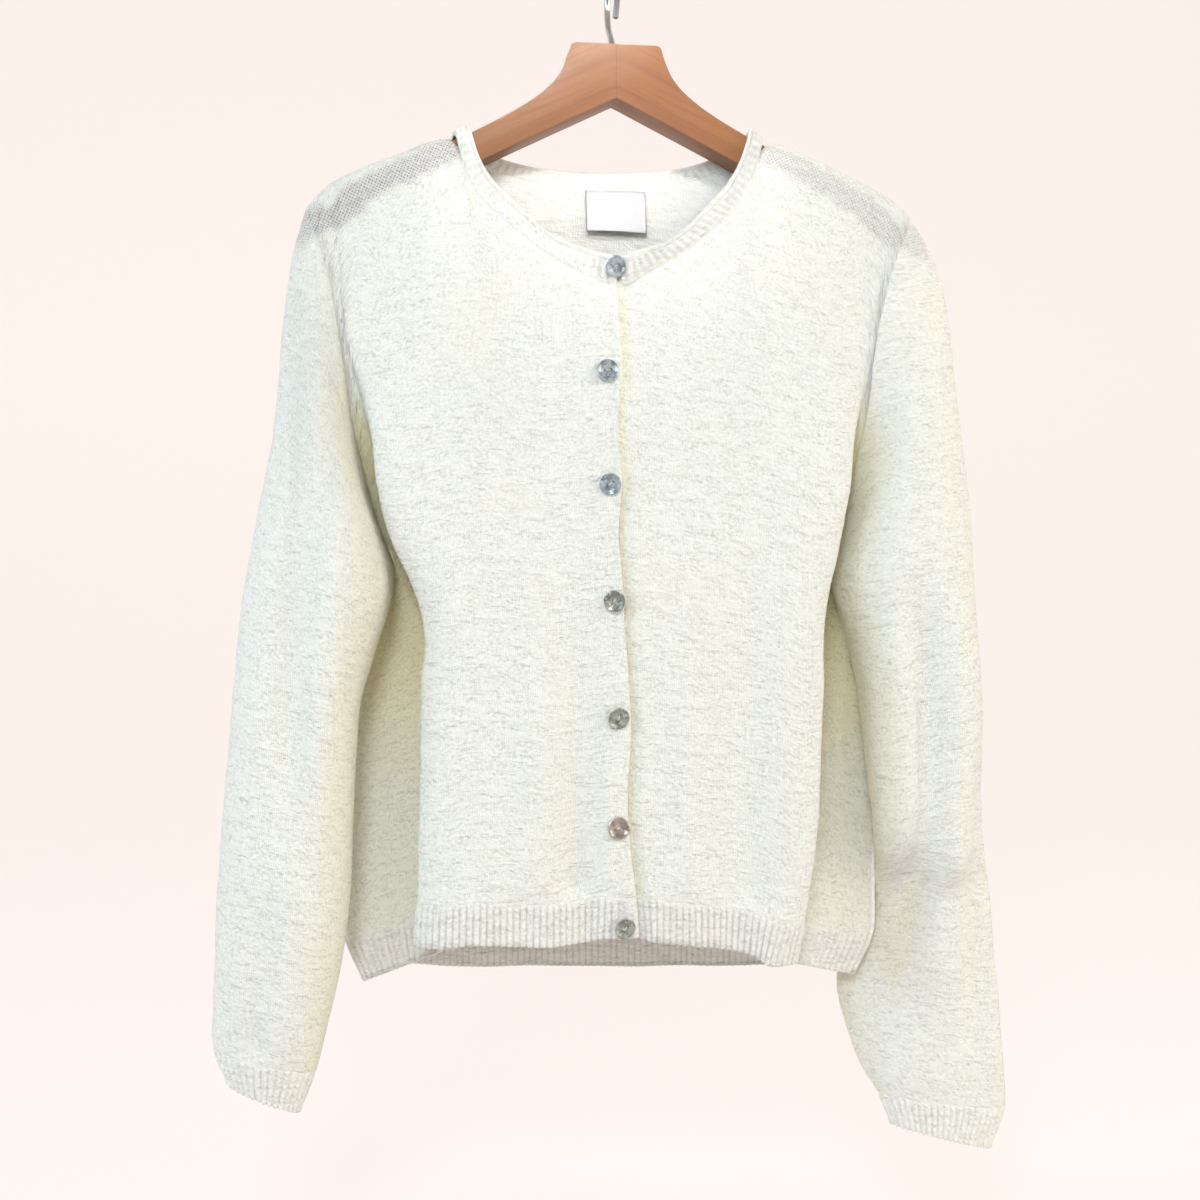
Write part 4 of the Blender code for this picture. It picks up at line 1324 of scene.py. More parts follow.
    def end(self, colour: Any, normal: Any, **values: Any) -> bpy.types.Material:
        """Connects the colour and the normal, and sets the shader's uniform values.

        Args:
            colour: the base colour.
            normal: the bump normal, or None.
            values: other sockets by name, with _ for a space.

        Returns:
            The finished material.
        """
        self.put(self.main.inputs["Base Color"], colour)
        if normal is not None:
            self.put(self.main.inputs["Normal"], normal)
        for name, value in values.items():
            self.put(self.main.inputs[name.replace("_", " ")], value)
        return self.made


class Stitch(Enum):
    """How a cloth piece is knitted."""

    PLAIN = "stockinette"
    RIB = "rib"


@dataclass(frozen=True)
class KnitFinish:
    """Brushed cream wool knit with upright wales, a soft nap and a sheer zone over the hanger.

    The stitches and the gaps of the sheer zone are measured in millimetres, and how far the random
    waver moves either in metres.
    """

    stitch: Stitch
    wale: float = 2.3
    course: float = 1.7
    reach: float = 0.0016
    gap_pitch: float = 2.9
    gap_rise: float = 3.4
    gap_lean: float = 0.35
    gap_reach: Sequence[float] = (0.0007, 0.0007, 0.0007)
    light: Colour = (0.935, 0.93, 0.885)
    shade: Colour = (0.66, 0.655, 0.595)
    inner: Colour = (0.975, 0.965, 0.91)
    glow: Colour = (1.0, 0.93, 0.66)
    groove: Colour = (0.56, 0.50, 0.46)
    sheer: Colour = (0.29, 0.235, 0.275)
    stain: Colour = (0.93, 0.86, 0.76)
    painted_nap_highlight: Colour = (0.98, 0.975, 0.945)

    def material(self, name: str) -> bpy.types.Material:
        """Builds the knit.

        Args:
            name: the material's name.

        Returns:
            The material.
        """
        s = Shader(name)
        uv, here = s.cloth_uv(), s.places()
        waver = s.node("TexNoise", Vector=uv, Scale=160.0, Detail=2.0).outputs["Color"]
        stitches = self.stitches(s, uv, waver)
        even = self.gaps(s, here, waver)
        ripples = s.cloud(s.scaled(uv, (75, 165, 1)), 1.0, 2.0, 0.6)
        nap = s.cloud(s.scaled(uv, (400, 500, 1)), 1.0, 3.0, 0.72)
        fibres = s.cloud(here, 1500.0, 3.0, 0.8)
        stains = s.cloud(here, 14.0, 2.0, 0.5)
        # The nap's speckles are random tone and painted shade, darker in the ripples' troughs; the gaps
        # between the stitches get painted shade too.
        troughs = s.span(ripples, 0.66, 0.34, 0.3, 1.0)
        tone = s.blend(s.times(s.span(nap, 0.6, 0.32), troughs), self.light, self.shade)
        tone = s.blend(s.span(stitches, 0.5, 0.0, 0, 0.45), tone, self.shade)
        tone = s.blend(s.span(stains, 0.55, 0.75, 0, 0.3), tone, self.stain)
        # A painted highlight on the high points of the nap.
        tone = s.blend(s.span(nap, 0.56, 0.74, 0, 0.85), tone, self.painted_nap_highlight)
        # Painted shade: where the glow mark is set, the knit is tinted yellow for the light that it
        # would get off the cloth beside it.
        beside = s.mark("glow")
        tone = s.blend(beside, tone, self.glow, "MULTIPLY")
        # The inside face is plainer and paler: painted light that brightens the shaded inside seen
        # through the neck and under the front hem.
        inside = s.mark("inside")
        tone = s.blend(s.times(inside, 0.75), tone, self.inner)
        # Painted shade in the ribs' grooves and along the neckband's groove and seam.
        groove = s.mark("groove")
        tone = s.blend(s.times(groove, 0.6), tone, self.groove)
        # The sheer zone's gaps are the open, stretched knit, painted with the dark shade that lies
        # behind it.
        thin = s.mark("sheer")
        stray = s.span(s.cloud(here, 700.0, 2.0, 0.6), 0.38, 0.62, 0.6, 1.15)
        holes = s.times(s.span(even, 0.5, 0.9, 0.34, 1.0), stray)
        tone = s.blend(s.times(thin, holes), tone, self.sheer)
        normal = s.bump(ripples, 0.0036, 0.9)
        normal = s.bump(nap, 0.0013, 0.9, normal)
        normal = s.bump(stitches, 0.0007, 0.5 if self.stitch is Stitch.PLAIN else 0.35, normal)
        normal = s.bump(fibres, 0.0003, 0.4, normal)
        return s.end(
            tone, normal, Roughness=0.92, Specular_IOR_Level=0.15, Sheen_Weight=0.3,
            Sheen_Roughness=0.45, Sheen_Tint=(1.0, 0.99, 0.95, 1.0),
        )

    def gaps(self, s: Shader, here: Any, waver: Any) -> Any:
        """Where the stretched loops part: slanting rows of small dots on both shoulders.

        Args:
            s: the material that is built.
            here: the piece's own coordinates.
            waver: random colours that move the pattern.

        Returns:
            A value from 0 on the yarn to 1 in a gap.
        """
        split = s.wavered(here, waver, self.gap_reach)
        aside = s.sum("ABSOLUTE", split.outputs["X"])
        deep = s.times(s.sum("ABSOLUTE", split.outputs["Y"]), 0.7)
        fall = s.minus(split.outputs["Z"], deep)
        lean = s.plus(fall, s.times(aside, self.gap_lean))
        along = s.minus(aside, s.times(fall, self.gap_lean))
        across = s.times(along, 2 * pi / (self.gap_pitch * MM))
        up = s.times(lean, 2 * pi / (self.gap_rise * MM))
        dots = s.times(s.sum("SINE", across), s.sum("SINE", up))
        return s.plus(s.times(dots, 0.5), 0.5)

    def stitches(self, s: Shader, uv: Any, waver: Any) -> Any:
        """The rise of the V-shaped stitches.

        Args:
            s: the material that is built.
            uv: the cloth's own distances.
            waver: random colours that move the pattern.

        Returns:
            A value from 0 between the stitches to 1 on them.
        """
        split = s.wavered(uv, waver, (self.reach, self.reach * 0.85, 0))
        across = s.sum("DIVIDE", split.outputs["X"], self.wale * MM)
        up = s.sum("DIVIDE", split.outputs["Y"], self.course * MM)
        leg = s.times(s.sum("PINGPONG", across, 0.5), 2.0)
        slant = s.plus(up, s.times(leg, 0.75))
        wave = s.sum("SINE", s.times(slant, 2 * pi))
        loop = s.plus(s.times(wave, 0.5), 0.5)
        column = s.sum("SINE", s.times(leg, pi))
        return s.times(s.plus(s.times(loop, 0.6), 0.4), column)


@dataclass(frozen=True)
class YarnFinish:
    """Plied yarn or sewing thread."""

    colour: Colour = (0.93, 0.915, 0.85)

    def material(self, name: str) -> bpy.types.Material:
        """Builds the yarn.

        Args:
            name: the material's name.

        Returns:
            The material.
        """
        s = Shader(name)
        here = s.places()
        ply = s.node("TexWave", {"bands_direction": "DIAGONAL"}, Vector=here, Scale=900.0,
                     Distortion=2.0, Detail=1.0).outputs["Fac"]
        fuzz = s.cloud(here, 2600.0, 3.0, 0.7)
        tone = s.blend(s.times(ply, 0.35), self.colour,
                       tuple(part * 0.78 for part in self.colour))
        normal = s.bump(fuzz, 0.0002, 0.5, s.bump(ply, 0.0002, 0.6))
        return s.end(tone, normal, Roughness=0.85, Sheen_Weight=0.2)


@dataclass(frozen=True)
class ShellFinish:
    """Polished shell with faint rings, clouded many-coloured lustre and a painted highlight round its
    rim.
    """

    body: Colour
    glow: Colour
    dark: Colour

    def material(self, name: str) -> bpy.types.Material:
        """Builds the shell.

        Args:
            name: the material's name.

        Returns:
            The material.
        """
        s = Shader(name)
        here = s.places()
        radius = s.mark("dish")
        clouds = s.cloud(here, 150.0, 4.0, 0.6)
        veins = s.node("TexNoise", Vector=here, Scale=260.0, Detail=5.0, Distortion=1.6).outputs["Fac"]
        rings = s.sum("SINE", s.plus(s.times(radius, 46.0), s.times(clouds, 9.0)))
        tone = s.blend(s.span(clouds, 0.38, 0.66), self.dark, self.body)
        tone = s.blend(s.span(veins, 0.5, 0.75, 0, 0.8), tone, self.glow)
        tone = s.blend(s.span(rings, 0.3, 1.0, 0, 0.25), tone, self.dark)
        # A painted highlight on the rounded rim.
        tone = s.blend(s.span(radius, 0.9, 1.0, 0, 0.55), tone, self.glow)
        normal = s.bump(rings, 0.00005, 0.5, s.bump(clouds, 0.0006, 0.3))
        return s.end(
            tone, normal, Roughness=0.2, Specular_IOR_Level=0.7, Coat_Weight=0.7,
            Coat_Roughness=0.06, Metallic=0.15,
        )


@dataclass(frozen=True)
class WoodFinish:
    """Oiled beech with its grain along both arms and a glued mitre in the middle."""

    light: Colour = (0.29, 0.111, 0.033)
    dark: Colour = (0.17, 0.053, 0.013)
    slope: float = 26.0
    middle: float = HANGER_MIDDLE

    def material(self, name: str) -> bpy.types.Material:
        """Builds the wood.

        Args:
            name: the material's name.

        Returns:
            The material.
        """
        s = Shader(name)
        split = s.node("SeparateXYZ", Vector=s.places())
        aside = s.sum("ABSOLUTE", s.minus(split.outputs["X"], self.middle * MM))
        folded = s.node("CombineXYZ", X=aside, Y=split.outputs["Y"], Z=split.outputs["Z"])
        turned = s.node("VectorRotate", {"rotation_type": "Y_AXIS"}, Vector=folded.outputs[0],
                        Angle=radians(-self.slope)).outputs[0]
        broad = s.cloud(s.scaled(turned, (5, 60, 75)), 1.0, 4.0, 0.55)
        lines = s.node("TexNoise", Vector=s.scaled(turned, (14, 420, 520)), Scale=1.0, Detail=4.0,
                       Roughness=0.6, Distortion=0.3).outputs["Fac"]
        flecks = s.cloud(s.scaled(turned, (260, 1500, 1500)), 1.0, 2.0, 0.5)
        tone = s.blend(s.span(broad, 0.35, 0.7), self.light, tuple(
            0.55 * a + 0.45 * b for a, b in zip(self.light, self.dark)))
        tone = s.blend(s.span(lines, 0.5, 0.72, 0, 0.55), tone, self.dark)
        tone = s.blend(s.span(flecks, 0.6, 0.75, 0, 0.4), tone, self.dark)
        mitre = s.span(aside, 0.00045, 0.0001, 0, 0.75)
        tone = s.blend(mitre, tone, self.dark)
        normal = s.bump(lines, 0.0003, 0.3, s.bump(mitre, 0.0003, -0.5))
        rough = s.span(lines, 0.3, 0.8, 0.38, 0.55)
        return s.end(tone, normal, Roughness=rough, Specular_IOR_Level=0.4, Coat_Weight=0.12,
                     Coat_Roughness=0.3)


@dataclass(frozen=True)
class ChromeFinish:
    """Bright plated steel wire with fine drawing marks."""

    colour: Colour = (0.52, 0.53, 0.55)
    blotch_tone: Colour = (0.40, 0.39, 0.38)

    def material(self, name: str) -> bpy.types.Material:
        """Builds the plating.

        Args:
            name: the material's name.

        Returns:
            The material.
        """
        s = Shader(name)
        marks = s.cloud(s.scaled(s.places(), (900, 900, 130)), 1.0, 3.0, 0.6)
        # Darker in random blotches.
        blotches = s.cloud(s.places(), 60.0, 2.0, 0.5)
        tone = s.blend(s.span(blotches, 0.4, 0.7, 0, 0.4), self.colour, self.blotch_tone)
        return s.end(tone, s.bump(marks, 0.00005, 0.4), Roughness=s.span(marks, 0.3, 0.7, 0.06, 0.18),
                     Metallic=1.0)


@dataclass(frozen=True)
class SatinFinish:
    """Bare white woven satin with a painted glint on its weave and painted shade on the fold along its
    sewn end.

    The threads' pitch and where the fold begins and ends are in metres.
    """

    colour: Colour = (0.63, 0.63, 0.65)
    glint: Colour = (0.72, 0.72, 0.78)
    worn: Colour = (0.84, 0.82, 0.80)
    folded: Colour = (0.62, 0.59, 0.68)
    weft_pitch: float = 0.00035
    warp_pitch: float = 0.0003
    fold_start: float = 0.0215
    fold_end: float = 0.0225

    def material(self, name: str) -> bpy.types.Material:
        """Builds the satin.

        Args:
            name: the material's name.

        Returns:
            The material.
        """
        s = Shader(name)
        uv = s.cloth_uv()
        split = s.node("SeparateXYZ", Vector=uv)
        weft = s.sum("SINE", s.times(split.outputs["Y"], 2 * pi / self.weft_pitch))
        warp = s.sum("SINE", s.times(split.outputs["X"], 2 * pi / self.warp_pitch))
        weave = s.plus(s.times(weft, 0.5), s.times(warp, 0.25))
        wear = s.cloud(uv, 220.0, 3.0, 0.6)
        fold = s.span(split.outputs["Y"], self.fold_start, self.fold_end)
        tone = s.blend(s.span(weave, 0.2, -0.7, 0, 0.1), self.colour, self.glint)
        tone = s.blend(s.span(wear, 0.5, 0.8, 0, 0.15), tone, self.worn)
        # Painted shade on the fold along the sewn end.
        tone = s.blend(s.times(fold, 0.55), tone, self.folded)
        return s.end(tone, s.bump(weave, 0.00006, 0.5), Roughness=0.38, Sheen_Weight=0.25,
                     Specular_IOR_Level=0.55)


# ---- the garment's pieces ----
LAP = 0.7  # how far the knitted pieces reach over their seams
SEAM_ROUND = 0.5
CREASE_EASE = 0.3  # the share of a crease's length over which its ends rise
CREASE_KEPT = 0.15  # and the share of its height that it has there
# The glow mark paints yellow shade on the cloth beside a fold; these set where it starts and how strong
# it is by height.
GLOW_TOP = UNDERARM + 190.0  # below this, over GLOW_RUN, the cloth beside a fold tints its light
GLOW_RUN = 110.0
GLOW_SHARES = ((-720, 0.15), (-570, 0.3), (-480, 1))  # by height


class Ridge(NamedTuple):
    """A ridge along an edge, or a groove where its height is minus."""

    height: float
    away: float
    half_width: float


class Ripple(NamedTuple):
    """An unevenness of the cloth: its height, how long its waves are, and its pattern's seed."""

    height: float
    sizes: tuple[float, float, float]
    seed: float


# The slack of the knit eases off over these distances, to this share at the sides of a piece.
SLACK_DOWN = 14.0
SLACK_ACROSS = 10.0
SLACK_KEPT = 0.25
BARE_EDGE = rows_of(Ridge, (0.9, 2.6, 2.3), (-0.5, 7.5, 2.2))
SLEEVE_SEAM = rows_of(Ridge, (0.7, 2.6, 1.6), (-0.8, 0, 1.3))
BROAD, SMALL, FINE = rows_of(
    Ripple,
    (1.1, (34, 60, 62), 0), (0.42, (13, 20, 17), 5.3), (0.26, (8, 12, 4.2), 9.1))


def ridges_at(ridges: Sequence[Ridge], away: Grid) -> Grid:
    """How far the ridges rise at these distances from the edge."""
    return sum(ridge.height * bell(away - ridge.away, ridge.half_width) for ridge in ridges)


def ripple_at(ripple: Ripple, points: Grid, seed: float) -> Grid:
    """How far an unevenness lifts each point of a piece with this seed."""
    return wander(points, ripple.sizes, seed + ripple.seed) * ripple.height


def line_at(table: Sequence[Any], column: str, height: Grid) -> Grid:
    """A column of a table of falling heights, on straight lines between its rows."""
    return np.interp(-height, [-row.height for row in table], [getattr(row, column) for row in table])


@dataclass
class Crease:
    """A soft ridge or hollow across a panel, from one place to another on its front view."""

    start: tuple[float, float]
    end: tuple[float, float]
    half_width: float
    height: float

    def at(self, points: Grid) -> Grid:
        """How far the crease lifts each point of a grid.

        Args:
            points: the grid, in millimetres.

        Returns:
            One height for each point.
        """
        a, b = np.array(self.start), np.array(self.end)
        way = b - a
        flat = points[..., (0, 2)] - a
        t = np.clip((flat @ way) / (way @ way), 0, 1)
        off = np.linalg.norm(flat - t[..., None] * way, axis=-1)
        ends = smooth_step(t / CREASE_EASE) * smooth_step((1 - t) / CREASE_EASE) + CREASE_KEPT
        return self.height * bell(off, self.half_width) * np.minimum(ends, 1)


# Drawn on the front view: where each starts and ends, its half width and its height.
FRONT_RIGHT_CREASES = (
    Crease((-186, -170), (-172, -330), 11, -1.5),
    Crease((-30, -440), (-32, -700), 12, -4.5),
    Crease((-56, -480), (-64, -700), 16, 3.2),
    Crease((-10, -520), (-11, -700), 8, 2.2),
)
FRONT_LEFT_CREASES = (
    Crease((40, -460), (44, -700), 10, 3.0),
    Crease((84, -440), (88, -690), 15, -4.5),
    Crease((176, -190), (158, -330), 12, -1.5),
)
SLEEVE_RIGHT_CREASES = (
    Crease((-222, -230), (-214, -620), 14, -6.0),
    Crease((-244, -330), (-256, -700), 14, 2.6),
    Crease((-192, -360), (-200, -560), 14, 3.0),
    Crease((-236, -600), (-246, -800), 12, -4.5),
)
SLEEVE_LEFT_CREASES = (
    Crease((207, -390), (214, -720), 13, -6.5),
    Crease((236, -400), (244, -790), 15, 3.2),
    Crease((186, -440), (188, -600), 12, 3.0),
    Crease((254, -520), (264, -800), 11, -4.0),
)


def slack(patch: Patch, seed: float, creases: Sequence[Crease] = (), amount: float = 1.0) -> Grid:
    """The small unevenness of hanging knit, easing to nothing at the edges of the piece.

    Args:
        patch: the fine surface.
        seed: moves the random pattern.
        creases: drawn ridges and hollows.
        amount: how uneven the piece is.

    Returns:
        A rise for each point, in millimetres.
    """
    ease = smooth_step(from_edges(patch.down) / SLACK_DOWN)
    sides = np.maximum(smooth_step(from_edges(patch.across) / SLACK_ACROSS), SLACK_KEPT)
    broad, small, fine = (ripple_at(ripple, patch.points, seed) for ripple in (BROAD, SMALL, FINE))
    drawn = sum((crease.at(patch.points) for crease in creases), np.zeros(broad.shape))
    return (broad * amount + small + fine + drawn) * ease[:, None] * sides[None]


def even_out(
    patch: Patch, reach: float = 150, fade: float = 60, ease: float = 14, rounds: int = 34
) -> None:
    """Evens the upper rows of a panel sideways, away from its edges.

    Args:
        patch: the surface, whose points are moved.
        reach: how far down the panel this is done in full.
        fade: over what distance it ends below that.
        ease: over what distance it starts from both sides.
        rounds: how many times each point moves towards its neighbours.
    """
    depth = 1 - smooth_step((patch.down - reach) / fade)
    share = (smooth_step(from_edges(patch.across) / ease)[None] * depth[:, None])[:, 1:-1, None]
    for _ in range(rounds):
        beside = (patch.points[:, :-2] + patch.points[:, 2:]) / 2
        patch.points[:, 1:-1] += 0.5 * share * (beside - patch.points[:, 1:-1])


# The sheer zone: how softly it ends, where it starts and ends along the arm, how far it stays above
# the wood's underside there, and how much of its painted shade shows on the wearer's left.
SHEER_FADE = 9.0
SHEER_INNER = 98.0
SHEER_OUTER = 226.0
SHEER_EDGE = Ripple(3.5, (9, 9, 6), 3.7)
SHEER_MARGIN = rows_of(Reach, (4, 165), (-7, 188), (-18, 214))
SHEER_LEFT = 0.6


def sheer_zone(points: Grid) -> Grid:
    """How strongly the stretched knit on the hanger's arms shows gaps painted with the shade behind.

    Args:
        points: the grid of a piece, in millimetres.

    Returns:
        A share from 0 to 1 for each point.
    """
    out = np.abs(points[..., 0] - HANGER_MIDDLE)
    tops, under, margin = (
        np.interp(out, *zip(*sorted((row.out, row.height) for row in rows)))
        for rows in (WOOD_TOP[HEAD_ROWS:], WOOD_UNDER, SHEER_MARGIN)
    )
    height = points[..., 2]
    uneven = ripple_at(SHEER_EDGE, points, 0)
    upper = smooth_step((tops + SHEER_FADE - height + uneven) / SHEER_FADE)
    lower = smooth_step((height - under - margin + uneven) / SHEER_FADE)
    inner = smooth_step((out - SHEER_INNER + uneven) / 10)
    outer = smooth_step((SHEER_OUTER - out) / SHEER_FADE)
    return upper * lower * inner * outer * np.where(points[..., 0] < HANGER_MIDDLE, 1.0, SHEER_LEFT)


def rib_relief(run: Grid, pitch: float, width: float) -> Grid:
    """The ribs' share of their rise along a strip.

    Args:
        run: distances along the strip.
        pitch: the distance between two ribs.
        width: a higher power leaves a narrower groove.

    Returns:
        A share from 0 in a groove to 1 on a rib.
    """
    ribs = max(int(round((run[-1] - run[0]) / pitch)), 2)
    turn = pi * ribs * (run - run[0]) / (run[-1] - run[0])
    return 1 - np.abs(np.cos(turn)) ** width


def strip_length(patch: Patch) -> Grid:
    """Distances along the middle row of a strip."""
    row = patch.points[len(patch.down) // 2]
    return np.concatenate([[0], np.cumsum(np.linalg.norm(np.diff(row, axis=0), axis=1))])


# The ribs of a strip: how far below its seam they are at their full height, how far each hangs
# below the grooves at the lower edge, and what makes their tops, waves and painted shade uneven.
RIB_DRAWN = 7.0
RIB_DROOP = 0.7
RIB_TOPS = Ripple(0.35, (9, 9, 50), 6.4)
RIB_WAVES = Ripple(0.3, (11, 14, 9), 0)
RIB_SHADES = Ripple(0.6, (6, 6, 8), 1)


@dataclass
class Strip:
    """A ribbed strip at the end of a panel or sleeve."""

    name: str
    surface: Surface
    start: float
    closed: bool = False
    first: float = 0.5
    last: float = 0.5
    span: tuple[float, float] | None = None
    step: float = 0.75
    seed: float = 0.0
    # How strong the painted shade in its grooves is.
    depth: float = 1.0

    def build(self, finish: bpy.types.Material) -> bpy.types.Object:
        """Makes the strip with its ribs, its drawn-in top and its soft lower edge.

        Args:
            finish: the knit.

        Returns:
            The dressed piece.
        """
        end = self.surface.down[-1]
        down = places(self.start - LAP, end, 2.0, SEAM_ROUND, CLOTH / 2)
        first, last = (0, 0) if self.closed else (self.first, self.last)
        left, right = self.span or (0, self.surface.across[-1])
        patch = self.surface.patch(down, places(left, right, self.step, first, last))
        ribs = rib_relief(strip_length(patch), RIB_PITCH, 5)
        drop = (down - down[0])[:, None]
        remains = (end - down)[:, None]
        grown = smooth_step((drop + 1.5) / RIB_DRAWN + ripple_at(RIB_TOPS, patch.points, 0))
        rise = RIB_RISE * (1.25 * ribs[None] - 0.35) * grown + 0.3 * smooth_step(1 - remains / 5)
        rise = rise + ripple_at(RIB_WAVES, patch.points, self.seed)
        droop = np.zeros(patch.points.shape)
        droop[..., 2] = -RIB_DROOP * ribs[None] * smooth_step(1 - remains / 4)
        patch.points = patch.points + droop
        inside = -0.5 * RIB_RISE * ribs[None] * np.ones(rise.shape)
        uneven = 0.75 + ripple_at(RIB_SHADES, patch.points, self.seed)
        # Painted shade in the grooves between the ribs, growing in below the seam.
        grooves = (1 - ribs[None]) ** 1.6 * grown * uneven * self.depth
        wall = Wall(self.name, patch, Edges(SEAM_ROUND, CLOTH / 2, first, last), rise=rise,
                    inner_rise=inside + 0.3, marks={"groove": grooves})
        return dress(wall.build(), finish, self.name + "_knit", self.name)


@dataclass
class Panel:
    """A front or the back, with the ribbed strip at its hem."""

    name: str
    grid: Grid
    edges: Edges
    flat: tuple[float, float]
    area: float
    step: float = 2.8
    grain: int = 0
    seed: float = 0.0
    creases: Sequence[Crease] = ()
    rolled: str = ""

    def build(self, knit: bpy.types.Material, rib: bpy.types.Material) -> None:
        """Args:
            knit: the stockinette.
            rib: the ribbed knit.
        """
        surface = Surface(self.grid)
        hem_top = surface.down[-2]
        start = -LAP if self.edges.first == SEAM_ROUND else 0
        end = surface.across[-1] + (LAP if self.edges.last == SEAM_ROUND else 0)
        down = places(-LAP, hem_top + LAP, self.step, self.edges.top, self.edges.bottom)
        across = places(start, end, self.step, self.edges.first, self.edges.last)
        patch = surface.patch(down, across)
        even_out(patch)
        rise = slack(patch, self.seed, self.creases)
        rise += self.roll(patch)
        grain = self.grain if self.grain >= 0 else len(across) - 1
        wall = Wall(self.name, patch, self.edges, rise=rise, inner_rise=-rise, grain=grain,
                    marks={"sheer": sheer_zone(patch.points), "glow": self.glow(patch)})
        piece = dress(wall.build(), knit, self.name + "_knit", self.name)
        hem_name = "hem_rib_" + self.name
        hem = Strip(hem_name, surface, hem_top, False, self.edges.first, self.edges.last,
                    span=(start, end), seed=self.seed + 2).build(rib)

    def glow(self, patch: Patch) -> Grid:
        """How strongly each point is tinted with painted yellow shade, for the light that it would get
        off the cloth beside it.

        Args:
            patch: the fine surface.

        Returns:
            A share from 0 to 1 for each point.
        """
        facing, height = patch.normals[..., 1], patch.points[..., 2]
        if self.name == "back":
            beside = smooth_step((-facing - 0.05) / 0.35)
        else:
            turned_back = patch.points[..., 1] - line_at(FRONT_FALL, "depth", height)
            beside = smooth_step((turned_back - 9) / 16)
        beside = beside * smooth_step((GLOW_TOP - height) / GLOW_RUN)
        beside = beside * np.interp(height, *zip(*GLOW_SHARES))
        # A painted shadow strip on the under front, beside the closing edge of the front over it.
        if self.name == "front_left":
            edge = line_at(EDGE, "out", height)
            beside = beside + 0.4 * bell(patch.points[..., 0] - edge - 2.5, 4.5)
        return np.minimum(beside, 1)

    def roll(self, patch: Patch) -> Grid:
        """The slight roll of a bare closing edge.

        Args:
            patch: the fine surface.

        Returns:
            A rise for each point, in millimetres.
        """
        if not self.rolled:
            return np.zeros(patch.points.shape[:2])
        first, last = patch.across[0], patch.across[-1]
        away = patch.across - first if self.rolled == "first" else last - patch.across
        return np.ones((len(patch.down), 1)) * ridges_at(BARE_EDGE, away)[None]


@dataclass
class Sleeve:
    """A sleeve with its ribbed cuff and the seam under the arm."""

    name: str
    cuff: str
    lie: SleeveLie
    flat: tuple[float, float]
    area: float
    step: float = 2.9
    seed: float = 0.0
    creases: Sequence[Crease] = ()

    def build(self, knit: bpy.types.Material, rib: bpy.types.Material) -> None:
        """Args:
            knit: the stockinette.
            rib: the ribbed knit.
        """
        surface = Surface(self.lie.grid(), closed=True)
        start = surface.down[-2]
        down = places(-LAP, start + LAP, self.step, SEAM_ROUND, SEAM_ROUND)
        patch = surface.patch(down, places(0, surface.across[-1], self.step))
        rise = slack(patch, self.seed, self.creases, 1.25)
        rise = rise * smooth_step(from_edges(patch.across) / 8)[None]
        rise += self.seam(patch)
        wall = Wall(self.name, patch, Edges(SEAM_ROUND, SEAM_ROUND, 0, 0), rise=rise,
                    inner_rise=-rise, grain=len(patch.across) // 2,
                    marks={"sheer": sheer_zone(patch.points) * 0.85, "glow": self.glow(patch)})
        piece = dress(wall.build(), knit, self.name + "_knit", self.name)
        cuff = Strip(self.cuff, surface, start, True, seed=self.seed + 4, depth=0.45).build(rib)

    def glow(self, patch: Patch) -> Grid:
        """How strongly each point is tinted with painted yellow shade, for the light that it would get
        off the body beside it.

        Args:
            patch: the fine surface.

        Returns:
            A share from 0 to 1 for each point.
        """
        toward = -patch.normals[..., 0] * self.lie.side.sign
        below = smooth_step((GLOW_TOP - patch.points[..., 2]) / GLOW_RUN)
        return 0.35 * smooth_step((toward - 0.35) / 0.4) * below

    def seam(self, patch: Patch) -> Grid:
        """The ridge and the groove of the seam, which runs down the underarm columns."""
        ridge = ridges_at(SLEEVE_SEAM, from_edges(patch.across))
        return np.ones((len(patch.down), 1)) * ridge[None]


@dataclass
class Neckband:
    """The band round the neck: rib cells from its seam, a fine groove, and a rolled edge.

    The roll and the groove stand at shares of the band's width from its edge.
    """

    grid: Grid
    flat: tuple[float, float] = (0.575, 0.021)
    step: float = 0.8
    roll: Ridge = Ridge(ROLL_RISE, 0.11, 0.09)
    groove: Ridge = Ridge(-0.9, 0.24, 0.035)
    groove_shade: Ridge = Ridge(0.75, 0.245, 0.03)
    waves: Ripple = Ripple(0.25, (7, 7, 7), 2.2)

    def build(self, rib: bpy.types.Material) -> None:
        """Args:
            rib: the ribbed knit.
        """
        surface = Surface(self.grid)
        wide = surface.down[-1]
        down = places(0, wide + LAP, 0.7, CLOTH / 2, SEAM_ROUND)
        patch = surface.patch(down, places(0, surface.across[-1], self.step, 0.5, 0.5))
        share = (down / wide)[:, None]
        ribs = rib_relief(strip_length(patch), NECK_RIB_PITCH, 3)[None]
        roll, groove = ridges_at([self.roll], share), ridges_at([self.groove], share)
        kept = smooth_step((share - self.groove.away) / 0.12) * smooth_step((1.02 - share) / 0.16)
        cells = RIB_RISE * 1.7 * ribs * kept
        rise = 0.35 + roll + groove + cells + ripple_at(self.waves, patch.points, 0)
        # Painted shade in the gaps between the rib cells, along the fine groove and next to the seam.
        dark = np.maximum(0.4 * (1 - ribs) * kept, ridges_at([self.groove_shade], share))
        dark = np.maximum(dark, 0.45 * smooth_step((share - 0.93) / 0.07) * (0.5 + 0.5 * (1 - ribs)))
        wall = Wall("neckband", patch, Edges(CLOTH / 2, SEAM_ROUND, 0.5, 0.5), rise=rise,
                    inner_rise=-0.4 * cells, marks={"groove": dark})
        piece = dress(wall.build(), rib, "neckband_knit", "neckband")


